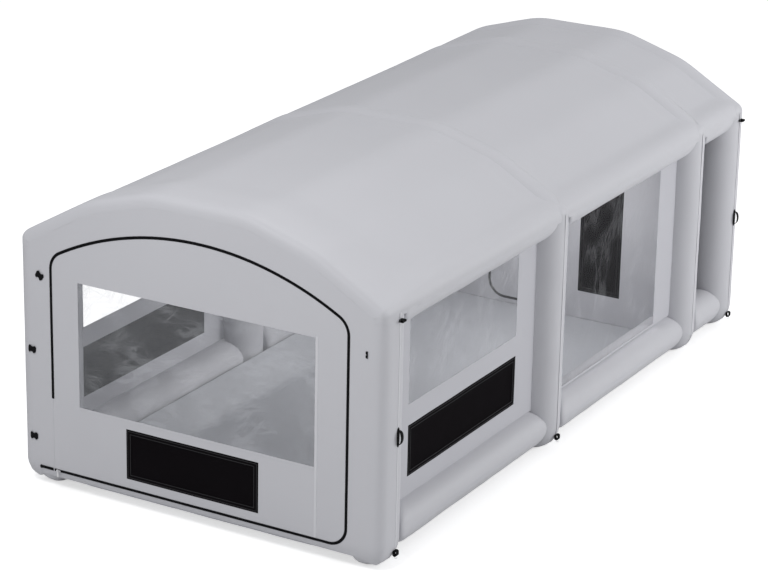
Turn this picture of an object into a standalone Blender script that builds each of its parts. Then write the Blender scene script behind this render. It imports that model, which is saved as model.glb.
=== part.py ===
"""Inflatable paint booth, a nominal 20 by 10 by 8 foot shelter.

Four air-filled arches stand across the booth, joined by air-filled base and eave tubes.
Roof sheets, side walls with windows and filters, a front panel with a zip door, a
partition with a service door, a rear wall and a tub-shaped ground sheet close it.
Lengths are in metres, +Z is up, the door faces -Y, and the origin is under the middle.
"""

import math

import bmesh
import bpy
from mathutils import Vector

# Arch outline, seen from the front

HALF_WIDTH = 1.525
EAVE_HEIGHT = 1.935
LOW_SLOPE = math.radians(30.0)
KNEE_X = 0.946
HIGH_SLOPE = math.radians(16.3)
CROWN_X = 0.40

# Air tubes

COLUMN_RADIUS = 0.204
INNER_FLAT = 0.65
SKIN = 0.001
SIDES = 24
SHARP_ANGLE = math.radians(25.0)
FOOT_FLAT = math.radians(15.0)
DOME_STEPS = 3
PORT_HEIGHT = 0.06
BASE_RADIUS = 0.16
BASE_INSET = 0.015
BASE_LIFT = 0.05
EAVE_RADIUS = 0.137
EAVE_INSET = 0.008
EAVE_TOP_INSET = 0.002
EAVE_END_GAP = 0.006

# Bays, from one arch's middle to the next

BAY_LENGTHS = (2.463, 2.462, 0.746)

# Sheets and clearances

GAP = 0.0003
SHEET = 0.0015
FILTER_THICK = 0.004
CORNER_STEPS = 5
ROOF_DROP = 0.035
ROOF_WRAP = 0.06
ROOF_WRAP_STEPS = 4
WALL_INSET = 0.135
CHAMBER_WALL_INSET = 0.315
CHAMBER_WALL_STEPS = 12
REAR_WALL_INSET = 0.27615
REAR_WALL_BOTTOM = 0.04

# Side windows and filters, measured from the arches' middles and the wall's lower edge

SIDE_FILTER_RISE = (0.143, 0.532)
WINDOW_FRONT_MARGINS = (0.378, 0.263)
WINDOW_REAR_MARGINS = (0.483, 0.499)
WINDOW_BOTTOM_MARGINS = (0.691, 0.016)
WINDOW_TOP_MARGIN = 0.02

# Front panel, door and zip

PANEL_BOTTOM = 0.093
PANEL_CORNER = 0.15
DOOR_MARGIN = 0.147
DOOR_BOTTOM = 0.156
DOOR_TOP = 2.145
DOOR_ARC = 2.44
DOOR_ARC_STEPS = 14
DOOR_UPPER_CORNER = 0.15
DOOR_LOWER_CORNER = 0.14
DOOR_CLEARANCE = 0.002
DOOR_WINDOW_X = (-1.008, 0.98)
DOOR_WINDOW_Z = (0.70, 1.655)
DOOR_FILTER_X = (-0.600, 0.524)
DOOR_FILTER_Z = (0.237, 0.625)
ZIP_WIDTH = 0.022
ZIP_THICK = 0.002
ZIP_START_Z = 0.72

# Zip slider and its pull

SLIDER_INSET = 0.038
SLIDER_LENGTH = 0.036
SLIDER_WIDTH = 0.02
SLIDER_THICK = 0.006
SHIELD_SHOULDER = 0.55
SHIELD_TAIL = 0.6
BRIDGE_LENGTH = 0.02
BRIDGE_WIDTH = 0.004
BRIDGE_RISE = 0.0075
BAR_THICK = 0.0024
PULL_RING = 0.0046
PULL_HOLE = 0.0028
PULL_RING_WIDTH = 0.008
PULL_LENGTH = 0.045
PULL_WIDTH = 0.014
PULL_THICK = 0.002

# Partition between the cabin and the rear chamber

PARTITION_BOTTOM = 0.02
PARTITION_FILTER_X = (0.355, 0.748)
PARTITION_FILTER_Z = (0.25, 1.70)
SERVICE_DOOR_X = (-0.50, 0.20)
SERVICE_DOOR_Z = (0.055, 1.75)
SERVICE_CORNER = 0.15
SERVICE_SLIDER_X = 0.03
SERVICE_SLIDER_LENGTH = 0.03
SERVICE_SLIDER_WIDTH = 0.016
SERVICE_SLIDER_THICK = 0.006

# Blower sleeves in the rear

VENT_SLEEVE_X = -0.55
VENT_SLEEVE_Z = 0.62
VENT_SLEEVE_RADIUS = 0.15
VENT_SLEEVE_LENGTH = 0.22
AIR_SLEEVE_RADIUS = 0.065
AIR_SLEEVE_LENGTH = 0.18

# Ground sheet

FLOOR_SLOPE_WIDTH = 0.223
FLOOR_TUBE_GAP = 0.012
FLOOR_END_INSET = 0.012
THRESHOLD_LENGTH = 0.30

# Webbing

WEB = 0.003
TIE_NAMES = ("top", "middle", "bottom")
TIE_INSETS = (0.185, 0.105, 0.105)
TIE_LEVELS = (1.65, 1.07, 0.39)
TIE_WIDTH = 0.062
TIE_WAIST = 0.022
TIE_HEIGHT = 0.05
KEEPER_INSET = 0.137
KEEPER_Z = 1.617
KEEPER_WIDTH = 0.015
KEEPER_HEIGHT = 0.05
HANDLE_Z = 0.975
HANDLE_HEIGHT = 0.108
HANDLE_BOW = 0.03
HANDLE_STEPS = 8
HANDLE_WIDTH = 0.036
HANDLE_END_WIDTH = 0.004
HANDLE_TAPER = 1.2
HANDLE_STANDOFF = 0.0033
LOOP_Z = 0.105
LOOP_HEIGHT = 0.04
LOOP_REACH = 0.026
LOOP_WIDTH = 0.04

# Places that follow from the sizes above

EAST = 1
WEST = -1
SIDE_NAMES = {EAST: "right", WEST: "left"}
ARCH_NAMES = ("front", "second", "third", "rear")
COLUMN_X = HALF_WIDTH - COLUMN_RADIUS
BASE_X = HALF_WIDTH - BASE_INSET - BASE_RADIUS
BASE_Z = BASE_LIFT + BASE_RADIUS
EAVE_X = HALF_WIDTH - EAVE_INSET - EAVE_RADIUS
FLOOR_RIM = BASE_X - BASE_RADIUS - FLOOR_TUBE_GAP
FLOOR_HALF = FLOOR_RIM - FLOOR_SLOPE_WIDTH
WALL_X = HALF_WIDTH - WALL_INSET
DOOR_HALF = WALL_X - DOOR_MARGIN
SLIDER_X = SLIDER_INSET - DOOR_HALF
KEEPER_X = HALF_WIDTH - KEEPER_INSET
CHAMBER_WALL_X = HALF_WIDTH - CHAMBER_WALL_INSET
REAR_WALL_X = HALF_WIDTH - REAR_WALL_INSET
FOOT_CENTRE_Z = COLUMN_RADIUS * math.cos(FOOT_FLAT)
FACET = 2 * math.pi / SIDES
END_GAP = GAP + 2 * COLUMN_RADIUS * (1 - math.cos(FACET / 2))
ARCH_Y = [COLUMN_RADIUS + sum(BAY_LENGTHS[:k]) for k in range(len(BAY_LENGTHS) + 1)]
BOOTH_LENGTH = ARCH_Y[-1] + COLUMN_RADIUS
PARTITION_Y = ARCH_Y[2] + COLUMN_RADIUS + GAP
AIR_SLEEVE_X = -(COLUMN_X + COLUMN_RADIUS * math.sin(FACET / 2))
AIR_SLEEVE_Z = FOOT_CENTRE_Z + PORT_HEIGHT / 2

PANEL_FRONT = GAP + SHEET
ZIP_BACK = PANEL_FRONT + GAP
ZIP_FRONT = ZIP_BACK + ZIP_THICK
SLIDER_BACK = ZIP_FRONT + GAP
SLIDER_FRONT = SLIDER_BACK + SLIDER_THICK
BAR_DEPTH = SLIDER_FRONT + BRIDGE_RISE - BAR_THICK / 2
DOOR_AXIS_X = -(DOOR_HALF + ZIP_WIDTH / 2 + DOOR_CLEARANCE)
SERVICE_AXIS_X = SERVICE_DOOR_X[1] + DOOR_CLEARANCE


# Outline of an arch and the shapes that follow it


def outline_edges():
    """Edges of the right half as (point, outward normal): upright, two slopes and top."""
    knee_z = EAVE_HEIGHT + (HALF_WIDTH - KNEE_X) * math.tan(LOW_SLOPE)
    crown_z = knee_z + (KNEE_X - CROWN_X) * math.tan(HIGH_SLOPE)
    eave = Vector((HALF_WIDTH, EAVE_HEIGHT))
    return [
        (eave, Vector((1, 0))),
        (eave, Vector((math.sin(LOW_SLOPE), math.cos(LOW_SLOPE)))),
        (Vector((KNEE_X, knee_z)), Vector((math.sin(HIGH_SLOPE), math.cos(HIGH_SLOPE)))),
        (Vector((CROWN_X, crown_z)), Vector((0, 1))),
    ]


EDGES = outline_edges()
SLOPE_NORMAL = EDGES[1][1]


def height_at(x, depth):
    """Height at x of the outline's slopes and top, moved inwards by depth."""
    return min((n.dot(p) - depth - n.x * abs(x)) / n.y for p, n in EDGES[1:])


def corner(index, depth):
    """The outline's eave, knee or crown corner, moved inwards by depth."""
    (p, n), (q, m) = EDGES[index], EDGES[index + 1]
    across = n.x * m.y - n.y * m.x
    first, second = n.dot(p) - depth, m.dot(q) - depth
    return Vector(((first * m.y - second * n.y) / across, (n.x * second - m.x * first) / across))


def chord(radius, offset):
    """Half the chord of a circle at an offset from its centre."""
    return math.sqrt(max(radius**2 - offset**2, 0.0))


def arch_reach(x, z):
    """Distance along y from an arch's middle at which a neighbour may start."""
    outwards = max(n.dot(Vector((abs(x), z)) - p) for p, n in EDGES) + COLUMN_RADIUS
    if outwards < 0:
        outwards /= INNER_FLAT
    return chord(COLUMN_RADIUS, outwards) + END_GAP


EAVE_DEPTH = EAVE_RADIUS + EAVE_TOP_INSET
EAVE_Z = height_at(EAVE_X, EAVE_DEPTH)


def roof_edge(depth):
    """Where a roof sheet's inner face at this depth comes to rest on the eave tube."""
    rise = EAVE_DEPTH - depth
    along = chord(EAVE_RADIUS + SHEET + GAP, rise)
    return EAVE_X + SLOPE_NORMAL.x * rise - SLOPE_NORMAL.y * along


REAR_DEPTH = COLUMN_RADIUS - chord(COLUMN_RADIUS, (COLUMN_X - REAR_WALL_X) / INNER_FLAT)
REAR_PLANE = BOOTH_LENGTH - REAR_DEPTH + END_GAP + SHEET
SLEEVE_END = max(REAR_PLANE + GAP + VENT_SLEEVE_LENGTH, BOOTH_LENGTH + AIR_SLEEVE_LENGTH)
MIDDLE_Y = (SLEEVE_END - BAR_DEPTH - PULL_RING) / 2


def at(x, y, z):
    """A place given from the booth's middle, its front face and the ground."""
    return Vector((x, y - MIDDLE_Y, z))


# Materials


def make_material(name, colour, roughness, metallic=0.0, alpha=1.0):
    material = bpy.data.materials.new(name)
    material.use_nodes = True
    shader = material.node_tree.nodes["Principled BSDF"]
    shader.inputs["Base Color"].default_value = (*colour, 1.0)
    shader.inputs["Roughness"].default_value = roughness
    shader.inputs["Metallic"].default_value = metallic
    shader.inputs["Alpha"].default_value = alpha
    return material


# Mesh helpers


def world_place(piece):
    """Where an unturned object stands, through its parents."""
    place = Vector(piece.location)
    return place + world_place(piece.parent) if piece.parent else place


def add_piece(name, bm, material, pivot=None, parent=None, smooth=False):
    """Make an object from a bmesh drawn in place, with its origin on its pivot."""
    bmesh.ops.recalc_face_normals(bm, faces=bm.faces)
    pivot = pivot or Vector((0, 0, 0))
    bmesh.ops.translate(bm, verts=bm.verts, vec=-pivot)
    mesh = bpy.data.meshes.new(name)
    bm.to_mesh(mesh)
    bm.free()
    if smooth:
        mesh.shade_smooth()
        mesh.set_sharp_from_angle(angle=SHARP_ANGLE)
    mesh.materials.append(material)
    piece = bpy.data.objects.new(name, mesh)
    bpy.context.collection.objects.link(piece)
    piece.location = pivot
    if parent:
        piece.parent = parent
        piece.location = pivot - world_place(parent)
    return piece


def add_loop(bm, points):
    return [bm.verts.new(p) for p in points]


def bridge(bm, loops, closed=True):
    """Quads between neighbouring loops of equal count, kept by loop and side number."""
    count = len(loops[0])
    faces = {}
    for i in range(len(loops) - 1):
        for k in range(count if closed else count - 1):
            n = (k + 1) % count
            faces[i, k] = bm.faces.new((loops[i][k], loops[i][n], loops[i + 1][n], loops[i + 1][k]))
    return faces


def sheet_body(outer_rows, inner_rows):
    """A closed sheet between two grids of points of the same shape."""
    bm = bmesh.new()
    outer = [add_loop(bm, row) for row in outer_rows]
    inner = [add_loop(bm, row) for row in inner_rows]
    bridge(bm, outer, closed=False)
    bridge(bm, inner, closed=False)
    for end in (0, -1):
        bridge(bm, [outer[end], inner[end]], closed=False)
        bridge(bm, [[row[end] for row in outer], [row[end] for row in inner]], closed=False)
    return bm


def plate_body(place, outline, holes, thickness):
    """A flat plate with holes; place(u, v, w) turns plate sizes into booth space."""
    bm = bmesh.new()
    edges = []
    for loop in [outline, *holes]:
        verts = add_loop(bm, [place(u, v, 0) for u, v in loop])
        for k, vert in enumerate(verts):
            edges.append(bm.edges.new((vert, verts[(k + 1) % len(verts)])))
    bmesh.ops.triangle_fill(bm, use_beauty=True, edges=edges)
    made = bmesh.ops.extrude_face_region(bm, geom=bm.faces[:])
    moved = [v for v in made["geom"] if isinstance(v, bmesh.types.BMVert)]
    bmesh.ops.translate(bm, verts=moved, vec=place(0, 0, thickness) - place(0, 0, 0))
    return bm


def swept_body(sections, closed=False):
    """A strap from loops of points, capped at both ends or joined into a ring."""
    bm = bmesh.new()
    loops = [add_loop(bm, points) for points in sections]
    if closed:
        bridge(bm, loops + [loops[0]])
        return bm
    bridge(bm, loops)
    bm.faces.new(loops[0])
    bm.faces.new(loops[-1])
    return bm


def pipe_body(x, z, radius, skin, low_end, high_end):
    """An open pipe along y; each end is a function of a point's place from the front."""
    walls = []
    for r in (radius, radius - skin):
        ring = arc((x, z), r, 0, 2 * math.pi - FACET, SIDES - 1)
        walls.append([[at(px, end(px, pz), pz) for px, pz in ring] for end in (low_end, high_end)])
    outer, inner = walls
    return swept_body([outer[0], outer[1], inner[1], inner[0]], closed=True)


def rectangle(u_range, v_range, grow=0.0):
    u0, u1 = u_range[0] - grow, u_range[1] + grow
    v0, v1 = v_range[0] - grow, v_range[1] + grow
    return [(u0, v0), (u1, v0), (u1, v1), (u0, v1)]


def arc(centre, radius, start, end, steps):
    """Points along an arc, with angles in radians from the first axis."""
    angles = [start + (end - start) * k / steps for k in range(steps + 1)]
    return [(centre[0] + radius * math.cos(a), centre[1] + radius * math.sin(a)) for a in angles]


def circle(centre, radius):
    return arc(centre, radius, 0, 2 * math.pi - FACET, SIDES - 1)


def rounded_rectangle(u_range, v_range, radius, grow=0.0):
    u0, u1 = u_range[0] - grow, u_range[1] + grow
    v0, v1 = v_range[0] - grow, v_range[1] + grow
    r = radius + grow
    quarter = math.pi / 2
    middles = ((u1 - r, v0 + r), (u1 - r, v1 - r), (u0 + r, v1 - r), (u0 + r, v0 + r))
    points = []
    for k, middle in enumerate(middles):
        points += arc(middle, r, (k - 1) * quarter, k * quarter, CORNER_STEPS)
    return points


def facing_front(depth):
    """Plates parallel to the front face; depth is their back, and they grow to the front."""
    return lambda u, v, w: at(u, depth - w, v)


def facing_side(x, side):
    """Plates parallel to a side wall, with x their inner face, growing outwards."""
    return lambda u, v, w: at(side * (x + w), u, v)


def facing_out(origin, along, out):
    """Upright plates on a leaning face, with their width along a level direction."""
    return lambda u, v, w: origin + along * u + Vector((0, 0, v)) + out * w


def join(piece, bm):
    """Unite a second closed body with a piece."""
    other = add_piece(piece.name + "_cutter", bm, piece.data.materials[0])
    other.hide_render = True
    other.display_type = "WIRE"
    modifier = piece.modifiers.new("join", "BOOLEAN")
    modifier.operation = "UNION"
    modifier.solver = "EXACT"
    modifier.object = other


# Arches


def arch_rings(radius):
    """Rings from the left foot to the right as (centre, outward direction, radius)."""
    half = []
    for k in range(DOME_STEPS + 1):
        angle = FOOT_FLAT + (math.pi / 2 - FOOT_FLAT) * k / DOME_STEPS
        height = FOOT_CENTRE_Z - radius * math.cos(angle)
        half.append((Vector((COLUMN_X, height)), Vector((1, 0)), radius * math.sin(angle)))
    port_top = Vector((COLUMN_X, FOOT_CENTRE_Z + PORT_HEIGHT))
    half.append((port_top, Vector((1, 0)), radius))
    for k in range(len(EDGES) - 1):
        mitre = (EDGES[k][1] + EDGES[k + 1][1]).normalized()
        half.append((corner(k, COLUMN_RADIUS), mitre / mitre.dot(EDGES[k][1]), radius))
    flip = Vector((-1, 1))
    left = [(centre * flip, out * flip, r) for centre, out, r in half]
    return left + half[::-1]


def arch_loops(bm, middle_y, radius):
    """Loops round the tube; its inner half is flatter, as the photo shows through the film."""
    loops = []
    flat = (COLUMN_RADIUS * INNER_FLAT - COLUMN_RADIUS + radius) / radius
    for centre, out, r in arch_rings(radius):
        points = []
        for k in range(SIDES):
            reach = r * math.cos(k * FACET)
            if reach < 0:
                reach *= flat
            across = centre + out * reach
            points.append(at(across.x, middle_y + r * math.sin(k * FACET), across.y))
        loops.append(add_loop(bm, points))
    return loops


def port_places(index, rings):
    """Ring and side numbers of the wall facets that open into the neighbours."""
    low_left, low_right = DOME_STEPS, rings - 2 - DOME_STEPS
    facing_back, facing_forward = SIDES // 4 - 1, 3 * SIDES // 4
    places = []
    if index > 0:
        places += [(low_left, facing_forward), (low_right, facing_forward)]
    if index < len(ARCH_Y) - 1:
        places.append((low_right, facing_back))
    places.append((low_left, facing_back))
    return places


def make_arch(index, material):
    """One welded arch: an air tube with mitred bends, round feet and air ports."""
    bm = bmesh.new()
    outer = arch_loops(bm, ARCH_Y[index], COLUMN_RADIUS)
    inner = arch_loops(bm, ARCH_Y[index], COLUMN_RADIUS - SKIN)
    walls = [bridge(bm, outer), bridge(bm, inner)]
    for loops in (outer, inner):
        bm.faces.new(loops[0])
        bm.faces.new(loops[-1])
    for ring, side in port_places(index, len(outer)):
        bmesh.ops.delete(bm, geom=[wall[ring, side] for wall in walls], context="FACES_ONLY")
        rims = []
        for loops in (outer, inner):
            low, high, n = loops[ring], loops[ring + 1], (side + 1) % SIDES
            rims.append([low[side], low[n], high[n], high[side]])
        bridge(bm, rims)
    add_piece("arch_" + ARCH_NAMES[index], bm, material, smooth=True)


# Base and eave tubes


def bay_ends(bay, spare=0.0):
    """Functions that give the first and last y of a bay's piece at a place."""
    front, back = ARCH_Y[bay] + spare, ARCH_Y[bay + 1] - spare
    return lambda x, z: front + arch_reach(x, z), lambda x, z: back - arch_reach(x, z)


def make_long_tubes(side, bay, material):
    name = f"{SIDE_NAMES[side]}_{bay + 1}"
    base = pipe_body(side * BASE_X, BASE_Z, BASE_RADIUS, SKIN, *bay_ends(bay))
    add_piece("base_tube_" + name, base, material, smooth=True)
    ends = bay_ends(bay, EAVE_END_GAP)
    eave = pipe_body(side * EAVE_X, EAVE_Z, EAVE_RADIUS, SKIN, *ends)
    add_piece("eave_tube_" + name, eave, material, smooth=True)


# Roof


def roof_row(y, depth, edge_x):
    """Points across the roof at one y, with the sheet's face at this depth."""
    right = [Vector((edge_x, height_at(edge_x, depth)))]
    right += [corner(1, depth), corner(2, depth)]
    points = [at(p.x, y, p.y) for p in right]
    return points + [at(-p.x, y, p.y) for p in right[::-1]]


def roof_body(stations):
    """A roof sheet through stations of (y, depth, edge, lean towards the front)."""
    outer, inner = [], []
    for y, depth, edge_x, lean in stations:
        inner.append(roof_row(y, depth, edge_x))
        outer.append(roof_row(y - SHEET * math.sin(lean), depth - SHEET * math.cos(lean), edge_x))
    return sheet_body(outer, inner)


def make_roof(material):
    rest = ROOF_DROP + SHEET
    edge = roof_edge(rest)
    reach = chord(COLUMN_RADIUS, COLUMN_RADIUS - rest) + END_GAP
    stations = []
    for k in range(ROOF_WRAP_STEPS + 1):
        lean = math.pi / 2 * (1 - k / ROOF_WRAP_STEPS)
        y = ROOF_WRAP * (1 - math.sin(lean)) - GAP
        depth = ROOF_WRAP * (1 - math.cos(lean)) - GAP
        stations.append((y, depth, WALL_X, lean))
    stations.append((ARCH_Y[0] + COLUMN_RADIUS, -GAP, WALL_X, 0.0))
    stations.append((ARCH_Y[1] - reach, rest, edge, 0.0))
    add_piece("roof_panel_1", roof_body(stations), material, smooth=True)
    for bay in (1, 2):
        ends = (ARCH_Y[bay] + reach, ARCH_Y[bay + 1] - reach)
        body = roof_body([(y, rest, edge, 0.0) for y in ends])
        add_piece(f"roof_panel_{bay + 1}", body, material, smooth=True)


# Side walls, windows and filters


def wall_outline(bay, x, levels):
    """A wall at this x whose ends follow the two arches at each level."""
    low, high = bay_ends(bay)
    return [(low(x, z), z) for z in levels[::-1]] + [(high(x, z), z) for z in levels]


def make_side_wall(side, bay, fabric, film, filter_cloth):
    inner_x = WALL_X - SHEET
    place = facing_side(inner_x, side)
    bottom = BASE_Z + chord(BASE_RADIUS, inner_x - BASE_X) + GAP
    top = EAVE_Z - chord(EAVE_RADIUS, WALL_X - EAVE_X) - GAP
    front, back = ARCH_Y[bay] + WINDOW_FRONT_MARGINS[bay], ARCH_Y[bay + 1] - WINDOW_REAR_MARGINS[bay]
    window = ((front, back), (bottom + WINDOW_BOTTOM_MARGINS[bay], top - WINDOW_TOP_MARGIN))
    holes = [rectangle(*window)]
    name = SIDE_NAMES[side]
    if bay == 0:
        cloth = ((front, back), [bottom + rise for rise in SIDE_FILTER_RISE])
        holes.append(rectangle(*cloth))
        body = plate_body(place, rectangle(*cloth, grow=-GAP), [], FILTER_THICK)
        add_piece("side_filter_" + name, body, filter_cloth)
    wall = plate_body(place, wall_outline(bay, inner_x, (bottom, top)), holes, SHEET)
    add_piece(f"side_wall_{name}_{bay + 1}", wall, fabric)
    pane = plate_body(place, rectangle(*window, grow=-GAP), [], SHEET)
    add_piece(f"side_window_{name}_{bay + 1}", pane, film)


def make_chamber_wall(side, material):
    """The rear chamber's wall, set deep between the last two columns."""
    inner_x = CHAMBER_WALL_X - SHEET
    bottom = BASE_Z + chord(BASE_RADIUS, CHAMBER_WALL_X - BASE_X) + GAP
    top = height_at(CHAMBER_WALL_X, ROOF_DROP + SHEET) - GAP
    bend = corner(0, COLUMN_RADIUS).y - COLUMN_RADIUS / 2
    rise = (top - bend) / CHAMBER_WALL_STEPS
    levels = [bottom] + [bend + rise * k for k in range(CHAMBER_WALL_STEPS + 1)]
    body = plate_body(facing_side(inner_x, side), wall_outline(2, inner_x, levels), [], SHEET)
    add_piece(f"side_wall_{SIDE_NAMES[side]}_3", body, material)


# Front panel and door


def door_outline(grow):
    """The door's edge from its lower hinge corner, anticlockwise seen from the front."""
    half, bottom = DOOR_HALF + grow, DOOR_BOTTOM - grow
    arc_z = DOOR_TOP - DOOR_ARC
    low, high, top = DOOR_LOWER_CORNER + grow, DOOR_UPPER_CORNER + grow, DOOR_ARC + grow
    corner_x = DOOR_HALF - DOOR_UPPER_CORNER
    corner_z = arc_z + chord(DOOR_ARC - DOOR_UPPER_CORNER, corner_x)
    turn = math.atan2(corner_z - arc_z, corner_x)
    lower_x, lower_z = DOOR_HALF - DOOR_LOWER_CORNER, DOOR_BOTTOM + DOOR_LOWER_CORNER
    points = [(-half, bottom)]
    points += arc((lower_x, lower_z), low, -math.pi / 2, 0, CORNER_STEPS)
    points += arc((corner_x, corner_z), high, 0, turn, CORNER_STEPS)
    points += arc((0, arc_z), top, turn, math.pi - turn, DOOR_ARC_STEPS)[1:-1]
    points += arc((-corner_x, corner_z), high, math.pi - turn, math.pi, CORNER_STEPS)
    points.append((-half, ZIP_START_Z))
    return points


def panel_outline(half, bottom, depth):
    """An outline up to the slopes, moved inwards by depth under the roof."""
    middle = (half - PANEL_CORNER, bottom + PANEL_CORNER)
    right = arc(middle, PANEL_CORNER, -math.pi / 2, 0, CORNER_STEPS)
    right += [(half, height_at(half, depth)), tuple(corner(1, depth)), tuple(corner(2, depth))]
    return right + [(-x, z) for x, z in right[::-1]]


def make_front(fabric, film, filter_cloth, zip_tape):
    place = facing_front(-GAP)
    outline = panel_outline(WALL_X, PANEL_BOTTOM, ROOF_WRAP + GAP)
    panel = plate_body(place, outline, [door_outline(DOOR_CLEARANCE)], SHEET)
    add_piece("front_panel", panel, fabric)
    pivot = at(DOOR_AXIS_X, -ZIP_BACK, 0)
    window = (DOOR_WINDOW_X, DOOR_WINDOW_Z)
    cloth = (DOOR_FILTER_X, DOOR_FILTER_Z)
    holes = [rectangle(*window), rectangle(*cloth)]
    door_body = plate_body(place, door_outline(-DOOR_CLEARANCE), holes, SHEET)
    door = add_piece("front_door", door_body, fabric, pivot)
    pane = plate_body(place, rectangle(*window, grow=-GAP), [], SHEET)
    add_piece("door_window", pane, film, pivot, door)
    mat = plate_body(place, rectangle(*cloth, grow=-GAP), [], FILTER_THICK)
    add_piece("door_filter", mat, filter_cloth, pivot, door)
    strip = door_outline(ZIP_WIDTH / 2) + door_outline(-ZIP_WIDTH / 2)[::-1]
    tape = plate_body(facing_front(-ZIP_BACK), strip, [], ZIP_THICK)
    add_piece("door_zip", tape, zip_tape, pivot, door)
    return door


# Zip slider and pull


def shield_outline(centre, length, width):
    """A slider's plate seen from the front: a wide shoulder and a narrower tail."""
    x, z = centre
    half, end = length / 2, width / 2
    tail, shoulder = SHIELD_TAIL * end, SHIELD_SHOULDER * half
    right = [(x + half, z - tail), (x + half, z + tail)]
    left = [(x - shoulder, z + end), (x - half, z + tail), (x - half, z - tail)]
    return right + left + [(x - shoulder, z - end)]


def make_slider(door, metal):
    """The front zip's slider: a plate with a bridge that holds the pull's ring."""
    pivot = at(SLIDER_X, -SLIDER_BACK, DOOR_BOTTOM)
    outline = shield_outline((SLIDER_X, DOOR_BOTTOM), SLIDER_LENGTH, SLIDER_WIDTH)
    plate = plate_body(facing_front(-SLIDER_BACK), outline, [], SLIDER_THICK)
    slider = add_piece("zip_slider", plate, metal, pivot, door)
    half, leg = BRIDGE_LENGTH / 2, BAR_THICK
    sunk, top = SLIDER_FRONT - SLIDER_THICK / 2, SLIDER_FRONT + BRIDGE_RISE
    hook = [(-half, sunk), (-half, top), (half, top), (half, sunk)]
    hook += [(half - leg, sunk), (half - leg, top - BAR_THICK)]
    hook += [(leg - half, top - BAR_THICK), (leg - half, sunk)]
    low_z = DOOR_BOTTOM - BRIDGE_WIDTH / 2

    def bridge_place(u, v, w):
        return at(SLIDER_X + u, -v, low_z + w)

    join(slider, plate_body(bridge_place, hook, [], BRIDGE_WIDTH))
    return slider


def make_pull(slider, metal):
    """The pull: a ring round the slider's bridge and a tab that hangs from it."""
    pivot = at(SLIDER_X, -BAR_DEPTH, DOOR_BOTTOM)

    def place_across(width):
        return lambda u, v, w: pivot + Vector((width / 2 - w, u, v))

    rings = circle((0, 0), PULL_RING), [circle((0, 0), PULL_HOLE)]
    ring = plate_body(place_across(PULL_RING_WIDTH), *rings, PULL_RING_WIDTH)
    pull = add_piece("zip_pull", ring, metal, pivot, slider)
    tab = rectangle((-PULL_THICK / 2, PULL_THICK / 2), (-PULL_LENGTH, -(PULL_RING + PULL_HOLE) / 2))
    join(pull, plate_body(place_across(PULL_WIDTH), tab, [], PULL_WIDTH))


# Partition and its service door


def make_partition(fabric, filter_cloth, metal):
    depth = ROOF_DROP + 2 * SHEET + 2 * GAP
    half = CHAMBER_WALL_X - SHEET - GAP
    floor_top = 2 * SHEET + GAP
    sill = max(PARTITION_BOTTOM, floor_top)
    tube_side = FLOOR_RIM - SHEET
    shoulder = BASE_Z + BASE_RADIUS + GAP
    slope = (BASE_Z - SHEET) / (tube_side - FLOOR_HALF)
    foot_x = FLOOR_HALF + (sill - floor_top) / slope - SHEET
    right = [(foot_x - SHEET, sill), (tube_side - SHEET, BASE_Z), (tube_side - SHEET, shoulder)]
    right += [(half, shoulder), (half, height_at(half, depth))]
    right += [tuple(corner(1, depth)), tuple(corner(2, depth))]
    outline = right + [(-x, z) for x, z in right[::-1]]
    place = facing_front(PARTITION_Y + SHEET)
    door = (SERVICE_DOOR_X, SERVICE_DOOR_Z)
    cloth = (PARTITION_FILTER_X, PARTITION_FILTER_Z)
    doorway = rounded_rectangle(*door, SERVICE_CORNER, grow=DOOR_CLEARANCE)
    holes = [doorway, rectangle(*cloth)]
    add_piece("partition_wall", plate_body(place, outline, holes, SHEET), fabric)
    mat = plate_body(place, rectangle(*cloth, grow=-GAP), [], FILTER_THICK)
    add_piece("partition_filter", mat, filter_cloth)
    pivot = at(SERVICE_AXIS_X, PARTITION_Y, 0)
    leaf_outline = rounded_rectangle(*door, SERVICE_CORNER)
    leaf = add_piece("partition_door", plate_body(place, leaf_outline, [], SHEET), fabric, pivot)
    spot = (SERVICE_SLIDER_X, SERVICE_DOOR_Z[0] + SERVICE_SLIDER_WIDTH / 2 + GAP)
    shape = shield_outline(spot, SERVICE_SLIDER_LENGTH, SERVICE_SLIDER_WIDTH)
    body = plate_body(facing_front(PARTITION_Y - GAP), shape, [], SERVICE_SLIDER_THICK)
    add_piece("partition_zip_slider", body, metal, at(spot[0], PARTITION_Y - GAP, spot[1]), leaf)


# Rear wall and blower sleeves


def make_rear(fabric):
    place = facing_front(REAR_PLANE)
    middle = (VENT_SLEEVE_X, VENT_SLEEVE_Z)
    outline = panel_outline(REAR_WALL_X, REAR_WALL_BOTTOM, REAR_WALL_INSET)
    hole = circle(middle, VENT_SLEEVE_RADIUS - SHEET)
    add_piece("rear_wall", plate_body(place, outline, [hole], SHEET), fabric)
    start = REAR_PLANE + GAP
    vent = pipe_body(
        *middle,
        VENT_SLEEVE_RADIUS,
        SHEET,
        lambda x, z: start,
        lambda x, z: start + VENT_SLEEVE_LENGTH,
    )
    add_piece("ventilation_sleeve", vent, fabric, smooth=True)
    air = pipe_body(
        AIR_SLEEVE_X,
        AIR_SLEEVE_Z,
        AIR_SLEEVE_RADIUS,
        SHEET,
        lambda x, z: ARCH_Y[-1] + arch_reach(x, z),
        lambda x, z: BOOTH_LENGTH + AIR_SLEEVE_LENGTH,
    )
    add_piece("inflation_sleeve", air, fabric, smooth=True)


# Ground sheet


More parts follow.
